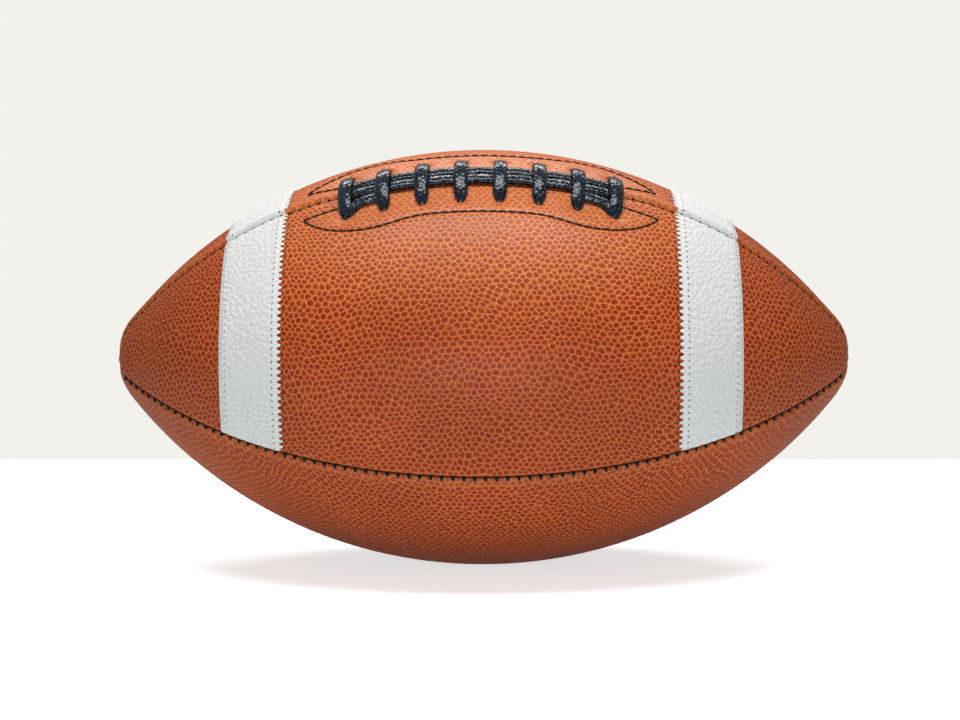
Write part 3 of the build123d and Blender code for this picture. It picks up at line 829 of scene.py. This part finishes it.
def panel_faces():
    """Faces of a panel: outside and inside, then the walls and the points of its two ends."""
    inner = STATIONS * COLUMNS
    tips = inner + STATIONS * INNER_COLUMNS
    faces = grid_faces(STATIONS, COLUMNS)
    faces += [face[::-1] for face in grid_faces(STATIONS, INNER_COLUMNS, inner)]
    ends = ((0, 0), (1, STATIONS - 1))
    for outer_column, inner_column in ((0, 0), (COLUMNS - 1, INNER_COLUMNS - 1)):
        a = [row * COLUMNS + outer_column for row in range(STATIONS)]
        c = [inner + row * INNER_COLUMNS + inner_column for row in range(STATIONS)]
        faces += [list(wall) for wall in zip(a, a[1:], c[1:], c)]
        faces += [[tips + end, a[row], c[row], tips + 2 + end] for end, row in ends]
    for end, row in ends:
        for first, columns, tip in ((0, COLUMNS, tips + end), (inner, INNER_COLUMNS, tips + 2 + end)):
            corners = range(first + row * columns, first + (row + 1) * columns - 1)
            faces += [[tip, corner, corner + 1] for corner in corners]
    return faces


def bend_sheet(name, quarter, values, across, faces, inputs):
    """Bend a closed sheet onto the ball; flat and sewn are the places for its patterns."""
    turn = PANELS[quarter][0]
    middle = LACE_ROLL + turn * pi / 2 + pi / 4
    level = np.zeros(across.size)
    beside = np.abs(values["along"]) if quarter.startswith("lace") else level
    values["flat"] = np.stack([values["along"] + PATTERN_STEP * turn, across, level], -1)
    values["sewn"] = np.stack([beside, (values["angle"] - middle) * INNER_RING, level], -1)
    points = on_ball(values["along"], values["angle"], values["proud"])
    made = mesh_object(name, points, faces, values)
    outward(made)
    return run_tree(made, wrap, inputs)


# %% [markdown]
# The rear belly panel has a hole for the valve. Columns and rows near its rim are pulled onto
# the rim, so that the hole is round.

# %% Leather panels
NOSE_TUCK = -1.4
RIM_STEP = 0.04
RIM_ZONE = 0.8
VALVE_DEPTH = 1.9


def valve_hole(along, gaps, ring, height, grain):
    """Sink a round hole into a panel's grid of places."""
    across = gaps - VALVE_TURN * ring
    away = np.hypot(along, across)
    inside = away < VALVE_HOLE
    rim = np.where(inside, VALVE_HOLE - RIM_STEP, VALVE_HOLE + RIM_STEP)
    near_rim = np.abs(away - VALVE_HOLE) < RIM_ZONE
    pull = np.where(near_rim, rim / np.maximum(away, 1e-6), 1.0)
    dent = np.where(inside, VALVE_DEPTH, 0.35 * np.exp(-(((away - VALVE_HOLE) / 1.5) ** 2)))
    grain = grain * ease(VALVE_HOLE + 0.5, VALVE_HOLE + 5, away)
    return along * pull, gaps - across + across * pull, height - dent, grain


def make_panel(quarter):
    """One leather panel, bent onto the ball by the tree."""
    start = LACE_ROLL + PANELS[quarter][0] * pi / 2
    share = np.linspace(-1, 1, STATIONS + 2)[1:-1]
    rows = HALF_SEAM * (0.82 * share + 0.18 * share**3)[:, None]
    ring = meridian(rows)[1]
    width = ring * pi / 2
    gaps = column_gaps(width[:, 0], COLUMNS, EDGE_COLUMNS)
    along = np.broadcast_to(rows, gaps.shape)
    height, grain, painted_crease_shade = leather_form(quarter, along, gaps, width)
    grain = grain * ease(0, 14, HALF_SEAM - np.abs(along))
    if quarter == "belly_back":
        along, gaps, height, grain = valve_hole(along, gaps, ring, height, grain)
    inner_gaps = gaps[:, :1] + (gaps[:, -1:] - gaps[:, :1]) * np.linspace(0, 1, INNER_COLUMNS)
    inner_along = np.broadcast_to(rows, inner_gaps.shape)
    ends = np.array([-HALF_SEAM, HALF_SEAM] * 2)
    bare = np.zeros(inner_gaps.size + ends.size)
    depths = [NOSE_TUCK, NOSE_TUCK, -LEATHER, -LEATHER]
    turns = [(start + gap / ring).ravel() for gap in (gaps, inner_gaps)]
    values = {
        "along": np.concatenate([along.ravel(), inner_along.ravel(), ends]),
        "angle": np.concatenate([*turns, [start + pi / 4] * ends.size]),
        "proud": np.concatenate([height.ravel(), [-LEATHER] * inner_gaps.size, depths]),
        "grain": np.concatenate([grain.ravel(), bare]),
        "painted_crease_shade": np.concatenate([painted_crease_shade.ravel(), bare]),
    }
    flat_across = [(gap - width / 2).ravel() for gap in (gaps, inner_gaps)]
    across = np.concatenate([*flat_across, [0] * ends.size])
    inputs = {"Material": panel_leather}
    return bend_sheet(f"{quarter}_leather", quarter, values, across, panel_faces(), inputs)


for quarter in PANELS:
    panel = make_panel(quarter)
    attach(panel, "root")
    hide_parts(f"panel_{quarter}")

# %% [markdown]
# A stripe is a thinner strip of white leather glued and sewn on a lace panel. It follows the
# panel's own height, so it dips into the seams with it, and its two edges are pared thin.

# %% White stripes
STRIPE = 0.9
STRIPE_EDGE = 0.5
STRIPE_SKIVE = 2.0
STRIPE_ROWS = 64
STRIPE_COLUMNS = 170
STRIPE_GLUE = 0.05


def from_edge(reach):
    """Distance from a stripe's nearer edge."""
    return np.minimum(reach - STRIPE_INNER, STRIPE_OUTER - reach)


def stripe_height(reach):
    """Thickness of a stripe this far along the ball."""
    return STRIPE_EDGE + (STRIPE - STRIPE_EDGE) * np.sqrt(np.clip(from_edge(reach) / STRIPE_SKIVE, 0, 1))


def stripe_faces():
    """Faces of a stripe: its top, its underside and the wall around it."""
    count = STRIPE_ROWS * STRIPE_COLUMNS
    faces = grid_faces(STRIPE_ROWS, STRIPE_COLUMNS)
    faces += [face[::-1] for face in grid_faces(STRIPE_ROWS, STRIPE_COLUMNS, count)]
    spots = np.arange(count).reshape(STRIPE_ROWS, STRIPE_COLUMNS)
    border = [*spots[0], *spots[1:, -1], *spots[-1, -2::-1], *spots[-2:0:-1, 0]]
    border = [int(spot) for spot in border]
    return faces + [[a, b, b + count, a + count] for a, b in zip(border, border[1:] + border[:1])]


def make_stripe(quarter, end, way):
    """One white stripe on a lace panel."""
    start = LACE_ROLL + PANELS[quarter][0] * pi / 2
    even = np.linspace(0, 1, STRIPE_ROWS)
    share = ((1 - np.cos(pi * even)) / 2 + even) / 2
    rows = way * (STRIPE_INNER + (STRIPE_OUTER - STRIPE_INNER) * share)[:, None]
    ring = meridian(rows)[1]
    width = ring * pi / 2
    gaps = column_gaps(width[:, 0], STRIPE_COLUMNS, EDGE_COLUMNS)
    along = np.broadcast_to(rows, gaps.shape)
    reach = np.abs(along)
    height, grain, painted_crease_shade = leather_form(quarter, along, gaps, width)
    tuck = ease(0, 2.5, np.minimum(gaps, width - gaps))
    top = height + 0.1 + stripe_height(reach) * (0.35 + 0.65 * tuck)
    grain = grain * ease(0.0, 2.0, from_edge(reach))
    values = {
        "along": np.tile(along.ravel(), 2),
        "angle": np.tile((start + gaps / ring).ravel(), 2),
        "proud": np.concatenate([top.ravel(), height.ravel() + STRIPE_GLUE]),
        "grain": np.concatenate([grain.ravel(), np.zeros(grain.size)]),
        "painted_crease_shade": np.tile(painted_crease_shade.ravel(), 2),
    }
    across = np.tile((gaps - width / 2).ravel(), 2)
    name = f"stripe_{quarter[5:]}_{end}_leather"
    inputs = {**WHITE_PEBBLE, "Pebble size": WHITE_PEBBLE["Size"], "Pebble height": 0.1}
    return bend_sheet(name, quarter, values, across, stripe_faces(), {**inputs, "Material": white_leather})


for quarter in ("lace_front", "lace_back"):
    for end, way in (("left", -1), ("right", 1)):
        stripe = make_stripe(quarter, end, way)
        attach(stripe, "root")
        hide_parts(f"stripe_{quarter[5:]}_{end}")

# %% [markdown]
# Threads repeat along a path, which is what Geometry Nodes do best. The first tree takes a
# path whose points know which way is sideways and which way is out, and draws one thread
# that swings from side to side and dives into the leather at each turn. With no swing it is
# a straight row of stitches.

# %% Tree for a sewn row
sew, sew_in, sew_out = new_group(
    "GeometryNodeTree",
    "sewn_row",
    {
        "Path": GEOMETRY,
        "Stitch": ZIGZAG_PITCH / 2,
        "Swing": 3.9,
        "Thread": 0.5,
        "Arch": 0.5,
        "Sink": 0.4,
        "Material": MATERIAL,
    },
    {"Thread": GEOMETRY},
)
STEPS = 6.0


def even_curve(path, length):
    """A path as a curve with points this far apart."""
    curve = take(path.tree, "GeometryNodeMeshToCurve", {0: path})
    return take(path.tree, "GeometryNodeResampleCurve", {"Curve": curve, "Length": length}, mode="LENGTH")


def round_thread(curve, thread, sides, **more):
    """A round thread along a curve."""
    circle = {"Resolution": sides, "Radius": thread * (MM / 2)}
    ring = take(curve.tree, "GeometryNodeCurvePrimitiveCircle", circle)
    swept = {"Curve": curve, "Profile Curve": ring, "Fill Caps": True, **more}
    return take(curve.tree, "GeometryNodeCurveToMesh", swept)


row = even_curve(sew_in["Path"], sew_in["Stitch"] / STEPS * MM)
index = take(sew, "GeometryNodeInputIndex")
swing_share = calc("PINGPONG", index, STEPS) / STEPS
aside = (swing_share - 0.5) * (sew_in["Swing"] * MM)
hump = calc("POWER", calc("SINE", calc("MODULO", index, STEPS) / STEPS * pi), 0.6)
rise = hump * (sew_in["Arch"] + sew_in["Sink"]) - sew_in["Sink"]
sideways = arrow("SCALE", attribute(sew, "side", "FLOAT_VECTOR"), aside)
upwards = arrow("SCALE", attribute(sew, "out", "FLOAT_VECTOR"), rise * MM)
offset = arrow("ADD", sideways, upwards)
row = take(sew, "GeometryNodeSetPosition", {"Geometry": row, "Offset": offset})
finish_tree(round_thread(row, sew_in["Thread"], 6), sew_in["Material"], sew_out["Thread"])

# %% [markdown]
# The second tree lays a short bent bar across a seam at every step of the path: the stitches
# that close the panels. Each bar is one small shape, placed and turned on every point.

# %% Tree for seam stitches
bars, bars_in, bars_out = new_group(
    "GeometryNodeTree",
    "seam_bars",
    {
        "Path": GEOMETRY,
        "Pitch": STITCH_PITCH,
        "Length": 2.0,
        "Thread": 0.8,
        "Bend": 0.5,
        "Material": MATERIAL,
    },
    {"Stitches": GEOMETRY},
)
row = even_curve(bars_in["Path"], bars_in["Pitch"] * MM)
half_bar = bars_in["Length"] * (MM / 2)
bend = {
    "Resolution": 6,
    "Start": take(bars, "ShaderNodeCombineXYZ", {0: half_bar * -1.0}),
    "Middle": take(bars, "ShaderNodeCombineXYZ", {2: bars_in["Bend"] * MM}),
    "End": take(bars, "ShaderNodeCombineXYZ", {0: half_bar}),
}
bar = take(bars, "GeometryNodeCurveQuadraticBezier", bend)
taper = ramp(take(bars, "GeometryNodeSplineParameter", output="Factor"), 0.3, 1.0, 1.0, 0.65)
bar = round_thread(bar, bars_in["Thread"], 7, Scale=taper)
axes = [attribute(bars, label, "FLOAT_VECTOR") for label in ("out", "side")]
turn = {"primary_axis": "Z", "secondary_axis": "X"}
across_seam = take(bars, "FunctionNodeAxesToRotation", enumerate(axes), **turn)
placed = {"Points": row, "Instance": bar, "Rotation": across_seam}
stitches = take(bars, "GeometryNodeInstanceOnPoints", placed)
finish_tree(stitches, bars_in["Material"], bars_out["Stitches"])

# %% [markdown]
# The four seams close the ball. The front seam's stitches sit just under the crisp edge of the
# upper panel. The lace seam has stitches only beyond the laces.


# %% Seam stitches
def path_object(name, runs):
    """Open paths, each a list of points in millimetres with their sideways and outward directions."""
    points, sides, outs = [np.vstack(rows) for rows in zip(*runs)]
    edges = []
    first = 0
    for run in runs:
        edges += [(first + index, first + index + 1) for index in range(len(run[0]) - 1)]
        first += len(run[0])
    return mesh_object(name, points, [], {"side": sides, "out": outs}, edges)


SEAM_END = 12.0
STITCH_SLANT = 0.12
STITCH_BEND = 0.25
# Seam's turn, first stitch, then a stitch's shift to the front, height, length, thread and slope
SEAMS = {
    "lace": (0, LACE_OPENING, 0.9, -0.4, 1.2, 1.0, 0.5),
    "front": (1, STITCH_PITCH / 2, 0.9, -0.35, 1.35, 1.45, 0.5),
    "belly": (2, STITCH_PITCH / 2, 0.0, -0.7, 1.7, 1.2, 0.0),
    "back": (3, STITCH_PITCH / 2, -0.9, -0.35, 1.35, 1.45, 0.5),
}
for seam, (turn, first, shift, proud, length, thread, slope) in SEAMS.items():
    count = floor((HALF_SEAM - SEAM_END - first) / STITCH_PITCH)
    reach = first + np.linspace(0, count * STITCH_PITCH, count * 6 + 1)
    side = -1 if shift < 0 else 1
    runs = []
    for way in (-1, 1):
        spots = way * reach
        turned = LACE_ROLL + turn * pi / 2 + shift / meridian(spots)[1]
        forward, around, out = directions(spots, turned)
        lean = unit(side * around * cos(slope) + out * sin(slope) + STITCH_SLANT * forward)
        upright = out * cos(slope) - side * around * sin(slope)
        on_stripe = (seam == "lace") & (reach > STRIPE_INNER) & (reach < STRIPE_OUTER)
        runs.append((on_ball(spots, turned, proud + 0.5 * on_stripe), lean, upright))
    stitches = path_object(f"seam_{seam}_stitches", runs)
    inputs = {"Length": length, "Thread": thread, "Bend": STITCH_BEND, "Material": dark_thread}
    run_tree(stitches, bars, inputs)
    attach(stitches, "root")
    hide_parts(f"seam_thread_{seam}")

# %% [markdown]
# The facing outlines are straight rows in dark thread. The stripes' edges are zigzags in white:
# the inner one reaches over the edge onto the brown leather, the outer one stays on the white.


# %% Facing and stripe stitches
def height_at(quarter, along, gap):
    """Height of a panel at flat places beside its first seam."""
    return leather_form(quarter, along, gap, meridian(along)[1] * pi / 2)[0]


FACING_STITCH = 3.6
# Place, height, swing, thread and arch of each zigzag
ZIGZAGS = (
    ("inner", STRIPE_INNER + 0.3, 0.3, 3.1, 0.8, 0.25),
    ("outer", OUTER_ROW, float(stripe_height(OUTER_ROW)) + 0.1, 2.6, 0.35, 0.12),
)
for quarter, side in (("lace_front", 1), ("lace_back", -1)):
    lengths = np.concatenate([[0], np.cumsum(np.hypot(*np.diff(facing_line, axis=0).T))])
    even = np.linspace(0, lengths[-1], floor(lengths[-1] / 0.6))
    spots = np.interp(even, lengths, facing_line[:, 0])
    across = np.interp(even, lengths, facing_line[:, 1])
    rings = meridian(spots)[1]
    turned = LACE_ROLL + side * across / rings
    gap = across if side > 0 else rings * pi / 2 - across
    proud = height_at(quarter, spots, gap)
    points = on_ball(spots, turned, proud)
    out = directions(spots, turned)[2]
    sideways = np.cross(out, unit(np.gradient(points, axis=0)))
    stitches = path_object(f"facing_{quarter[5:]}_stitches", [(points, sideways, out)])
    inputs = {"Stitch": FACING_STITCH, "Swing": 0.0, "Thread": 0.7, "Arch": 0.34, "Sink": 0.16}
    run_tree(stitches, sew, {**inputs, "Material": dark_thread})
    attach(stitches, "root")
    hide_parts(f"facing_thread_{quarter[5:]}")

    for end, way in (("left", -1), ("right", 1)):
        rows = []
        for label, row, lift, swing, thread, arch in ZIGZAGS:
            wide = float(meridian(np.array(row))[1]) * pi / 2
            gap = np.linspace(ZIGZAG_START, wide - ZIGZAG_START, 200)
            spots = np.full(gap.shape, way * row)
            turned = LACE_ROLL + PANELS[quarter][0] * pi / 2 + gap / (wide / (pi / 2))
            points = on_ball(spots, turned, height_at(quarter, spots, gap) + lift)
            forward, around, out = directions(spots, turned)
            row = path_object(f"{label}_zigzag", [(points, forward * way, out)])
            inputs = {"Stitch": ZIGZAG_PITCH / 2, "Swing": swing, "Thread": thread, "Arch": arch, "Sink": 0.2}
            rows.append(run_tree(row, sew, {**inputs, "Material": white_thread}))
        joined = bmesh.new()
        for row in rows:
            joined.from_mesh(row.data)
        zigzag = rows[0]
        zigzag.name = f"stripe_{quarter[5:]}_{end}_stitches"
        joined.to_mesh(zigzag.data)
        joined.free()
        bpy.data.objects.remove(rows[1])
        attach(zigzag, "root")
        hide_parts(f"stripe_thread_{quarter[5:]}_{end}")

# %% [markdown]
# The lace is one flat thong. Each stretch of it is a rounded section swept along a smooth path,
# and a small tree raises the scale grain on it as on the panels.

# %% Tree that raises the lace's scales
scales, scales_in, scales_out = new_group(
    "GeometryNodeTree",
    "lace_scales",
    {
        "Thong": GEOMETRY,
        "Scale size": LACE_SCALES["Size"],
        "Scale height": 0.12,
        "Seed": LACE_SCALES["Seed"],
        "Wander": LACE_SCALES["Wander"],
        "Material": MATERIAL,
    },
    {"Lace": GEOMETRY},
)
scale_inputs = [scales_in[label] for label in ("Thong", "Scale size", "Scale height", "Seed", "Wander")]
finish_tree(raise_pebbles(*scale_inputs), scales_in["Material"], scales_out["Lace"])

# %% Section of the lace
SECTION_POINTS = 36
SQUARENESS = 0.88
ROUND_END = 1.6
LEAST_END = 0.35
LACE_STEP = 0.4
RUN_DEPTH = 8.0


def smooth_path(corners):
    """A smooth path that cuts the corners of a few points, stepped evenly."""
    path = np.array(corners, float)
    for _ in range(4):
        first = 0.75 * path[:-1] + 0.25 * path[1:]
        second = 0.25 * path[:-1] + 0.75 * path[1:]
        path = np.vstack([path[:1], np.stack([first, second], 1).reshape(-1, path.shape[1]), path[-1:]])
    lengths = np.concatenate([[0], np.cumsum(np.linalg.norm(np.diff(path, axis=0), axis=-1))])
    even = np.linspace(0, lengths[-1], max(int(lengths[-1] / LACE_STEP), 8))
    return np.stack([np.interp(even, lengths, column) for column in path.T], -1), even


thong_points = []
thong_flat = []
thong_grain = []
thong_faces = []


def sweep_thong(points, wide, even, widths, depths, seed):
    """Sweep the thong's rounded section along a path; wide is the direction of its width."""
    first = sum(len(block) for block in thong_points)
    rows = len(points)
    deep = unit(np.cross(unit(np.gradient(points, axis=0)), wide))
    turns = np.linspace(0, 2 * pi, SECTION_POINTS, endpoint=False)
    across, up = [np.sign(part) * np.abs(part) ** SQUARENESS / 2 for part in (np.cos(turns), np.sin(turns))]
    ring = points[:, None] + wide[:, None] * (across * widths[:, None])[..., None]
    ring = ring + deep[:, None] * (up * depths[:, None])[..., None]
    steps = np.hypot(np.diff(across * LACE_WIDTH), np.diff(up * LACE_THICKNESS))
    girth = np.concatenate([[0], np.cumsum(steps)])
    fold = np.minimum(girth, girth[-1] - girth) + 0.37 * seed
    flat_rows = np.stack(np.broadcast_arrays(even[:, None] + seed, fold[None], 0.0), -1)
    thong_points.append(ring.reshape(-1, 3))
    thong_flat.append(flat_rows.reshape(-1, 3))
    thong_grain.append(np.ones(rows * SECTION_POINTS))
    for start in range(first, first + (rows - 1) * SECTION_POINTS, SECTION_POINTS):
        for spot in range(SECTION_POINTS):
            a = start + spot
            b = start + (spot + 1) % SECTION_POINTS
            thong_faces.append([a, b, b + SECTION_POINTS, a + SECTION_POINTS])
    last = first + (rows - 1) * SECTION_POINTS
    thong_faces.append(list(range(first, first + SECTION_POINTS)))
    thong_faces.append(list(range(last, last + SECTION_POINTS))[::-1])


def rounded_ends(even, size):
    """Size along a stretch, drawn in at both ends."""
    edge = np.minimum(even, even[-1] - even)
    return size * (LEAST_END + (1 - LEAST_END) * np.sqrt(np.clip(edge / ROUND_END, 0, 1)))


# %% [markdown]
# The two strands lie side by side over the seam and dip a little under each crossing. A
# crossing comes out of its far hole, lies over both strands, and narrows as it dives into the
# near hole.

# %% Strands and crossings
STRAND_OFFSET = 2.8
STRAND_HEIGHT = 0.1
STRAND_DIP = 0.1
STRAND_PAST = 2.4
for number, side in enumerate((-1, 1)):
    spots = np.linspace(-LACE_END - STRAND_PAST, LACE_END + STRAND_PAST, int(2 * LACE_END / LACE_STEP))
    under = np.cos(2 * pi * (spots - lace_spots[0]) / LACE_PITCH)
    _, around, out = directions(spots, LACE_ROLL)
    points = on_ball(spots, LACE_ROLL, STRAND_HEIGHT - STRAND_DIP * under) + around * (side * STRAND_OFFSET)
    even = spots - spots[0]
    widths = rounded_ends(even, LACE_WIDTH - 0.1)
    sweep_thong(points, around, even, widths, rounded_ends(even, LACE_THICKNESS + 0.2), 40.0 * number)

END_DROP = 0.45
for number, spot in enumerate(lace_spots):
    forward, around, out = directions(spot, LACE_ROLL)
    base = on_ball(spot, LACE_ROLL)
    drop = END_DROP if number in (0, LACE_COUNT - 1) else 0.0
    corners = [
        (-FAR_HOLE, -RUN_DEPTH),
        (-FAR_HOLE, -2.2),
        (-9.5, 0.2),
        (-5.6, 1.95 - drop),
        (-2.8, 2.65 - drop),
        (0, 2.8 - drop),
        (2.8, 2.65 - drop),
        (5.6, 1.95 - drop),
        (9.8, 0.4),
        (NEAR_HOLE, -2.4),
        (NEAR_HOLE, -RUN_DEPTH),
    ]
    local, even = smooth_path(corners)
    points = base + local[:, :1] * around + local[:, 1:] * out
    squeeze = 0.86 + 0.14 * ease(-3.2, 0.8, local[:, 1])
    narrow = 0.5 + 0.5 * ease(-3.1, -0.3, local[:, 1])
    wide = np.broadcast_to(forward, points.shape)
    sweep_thong(points, wide, even, LACE_WIDTH * narrow, LACE_THICKNESS * squeeze, 90.0 + 17.0 * number)

# %% [markdown]
# Inside the ball the thong runs from hole to hole, on alternate sides. At each end a short tail
# leaves the last near hole and is tucked under the next crossing.

# %% Inner runs and tails
for number in range(LACE_COUNT - 1):
    side = NEAR_HOLE if number % 2 else -FAR_HOLE
    spots = np.linspace(lace_spots[number] - 2.0, lace_spots[number + 1] + 2.0, 24)
    _, around, out = directions(spots, LACE_ROLL)
    points = on_ball(spots, LACE_ROLL, -RUN_DEPTH) + around * side
    even = spots - spots[0]
    sweep_thong(points, around, even, rounded_ends(even, LACE_WIDTH), rounded_ends(even, LACE_THICKNESS), 0.0)

# Places of a tail: in from the end crossing, across to the front, and off the ball's round form
TAIL = (
    (0.6, 14.2, -1.6),
    (2.0, 12.6, -0.3),
    (4.6, 9.8, 0.3),
    (9.5, 8.7, 0.35),
    (15.0, 8.3, 0.2),
    (16.5, 8.2, 0.0),
)
for number, way in enumerate((-1, 1)):
    inward, across, lift = np.array(TAIL).T
    spots = way * (LACE_END - inward)
    corners = on_ball(spots, LACE_ROLL + across / meridian(spots)[1], lift)
    points, even = smooth_path(corners)
    wide = unit(np.cross(points * (0, 1, 1), np.gradient(points, axis=0)))
    widths = rounded_ends(even, LACE_WIDTH - 0.6)
    sweep_thong(points, wide, even, widths, rounded_ends(even, 1.8), 260.0 + 30.0 * number)

# %% The lace as one piece
lace = mesh_object(
    "lace_thong",
    np.vstack(thong_points),
    thong_faces,
    {"flat": np.vstack(thong_flat), "grain": np.concatenate(thong_grain)},
)
outward(lace)
run_tree(lace, scales, {"Material": lace_leather})
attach(lace, "root")
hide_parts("lace")

# %% [markdown]
# The camera stands about a metre away with a long lens, a little above the ball, as in the
# photograph. It aims just beside the ball's centre and is rolled a fraction of a degree.

# %% Camera
IMAGE_WIDTH = 960
IMAGE_HEIGHT = 720
FOCAL_PIXELS = 2390.0
DISTANCE = 0.950
AZIMUTH = radians(1.0)
ELEVATION = radians(6.0)
CAMERA_ROLL = radians(-0.24)
AIM = Vector((-0.00117, -0.00019, -0.00112))
camera_data = bpy.data.cameras.new("camera")
camera_data.sensor_width = 36.0
camera_data.lens = FOCAL_PIXELS / IMAGE_WIDTH * camera_data.sensor_width
camera_data.clip_start = 0.05
camera = bpy.data.objects.new("camera", camera_data)
bpy.context.scene.collection.objects.link(camera)
back = Vector((sin(AZIMUTH) * cos(ELEVATION), -cos(AZIMUTH) * cos(ELEVATION), sin(ELEVATION)))
camera.location = AIM + back * DISTANCE
camera.rotation_mode = "QUATERNION"
camera.rotation_quaternion = Quaternion(back, CAMERA_ROLL) @ (-back).to_track_quat("-Z", "Y")
bpy.context.scene.camera = camera
print(f"camera with a {camera_data.lens:.1f} mm lens, {DISTANCE:.2f} m away")
bpy.context.view_layer.update()

# %% [markdown]
# The ball lies on a white floor that ends behind it, against a pale warm background. Where the
# floor ends is found by following two lines of sight down to the floor. Their full white is
# shown only to the camera and to gloss, so it adds no light to the ball's colours.

# %% Floor and background
FLOOR_EDGE_ROW = 460
FLOOR_HEIGHT = -GIRTH_RADIUS * MM - 0.0003
FLOOR_DEPTH = 3.0
FLOOR_GLOW = 0.67
SKY_LIGHT = 0.11


def seen_directly(tree):
    """1 for rays from the camera, also by way of a mirror or glass."""
    rays = named(node(tree, "ShaderNodeLightPath").outputs)
    seen = calc("MAXIMUM", rays["Is Camera Ray"], rays["Is Glossy Ray"])
    return calc("MAXIMUM", seen, rays["Is Transmission Ray"])


def floor_point(column, row):
    """Where the line of sight through a pixel meets the floor."""
    right, up, behind = camera.matrix_world.to_3x3().col
    sight = right * (column - IMAGE_WIDTH / 2) - up * (row - IMAGE_HEIGHT / 2) - behind * FOCAL_PIXELS
    return camera.location + sight * ((FLOOR_HEIGHT - camera.location.z) / sight.z)


left_edge = floor_point(-IMAGE_WIDTH, FLOOR_EDGE_ROW)
right_edge = floor_point(2 * IMAGE_WIDTH, FLOOR_EDGE_ROW)
floor_mesh = bpy.data.meshes.new("floor")
front = Vector((0, -FLOOR_DEPTH, 0))
floor_mesh.from_pydata([left_edge, right_edge, right_edge + front, left_edge + front], [], [(3, 2, 1, 0)])
floor_object = bpy.data.objects.new("floor", floor_mesh)
bpy.context.scene.collection.objects.link(floor_object)
floor_white, tree, shader = new_material("floor_white", Roughness=0.9, Specular_IOR_Level=0.0)
dress(shader, Base_Color=(0.85, 0.94, 0.96, 1))
glow = take(tree, "ShaderNodeEmission", {"Strength": seen_directly(tree) * FLOOR_GLOW})
both = take(tree, "ShaderNodeAddShader", {0: Value(shader.outputs[0]), 1: glow})
fill(tree.nodes["Material Output"].inputs["Surface"], both)
floor_mesh.materials.append(floor_white)

world = bpy.data.worlds.new("studio")
bpy.context.scene.world = world
world.use_nodes = True
tree = world.node_tree
sky = tree.nodes["Background"]
sky.inputs["Color"].default_value = (1, 1, 1, 1)
sky.inputs["Strength"].default_value = SKY_LIGHT
backdrop = take(tree, "ShaderNodeBackground", {"Color": srgb(242, 241, 236), "Strength": 1.0})
choice = {0: seen_directly(tree), 1: Value(sky.outputs[0]), 2: backdrop}
fill(tree.nodes["World Output"].inputs["Surface"], take(tree, "ShaderNodeMixShader", choice))

# %% [markdown]
# A wide soft lamp hangs above and a little in front, a narrow one behind puts glints on the
# laces, and a low one fills from the camera's side. Together with the even sky they light a
# colour about as it is written.


# %% Lamps
def soft_lamp(name, place, aim, width, depth, power):
    """A large rectangular lamp."""
    data = bpy.data.lights.new(name, "AREA")
    data.shape = "RECTANGLE"
    data.size = width
    data.size_y = depth
    data.energy = power
    lamp = bpy.data.objects.new(name, data)
    lamp.location = place
    lamp.rotation_mode = "QUATERNION"
    lamp.rotation_quaternion = (Vector(aim) - Vector(place)).to_track_quat("-Z", "Y")
    bpy.context.scene.collection.objects.link(lamp)
    print(f"{name}: {power} W")


soft_lamp("top_lamp", (0.0, -0.2, 1.0), (0, 0, 0), 0.8, 0.32, 12.2)
soft_lamp("back_lamp", (0.0, 0.75, 0.8), (0, 0, 0), 0.8, 0.1, 5.8)
soft_lamp("front_lamp", (0.0, -1.1, 0.0), (0, 0, 0), 0.8, 0.16, 4.4)

bpy.context.scene.view_settings.view_transform = "Standard"
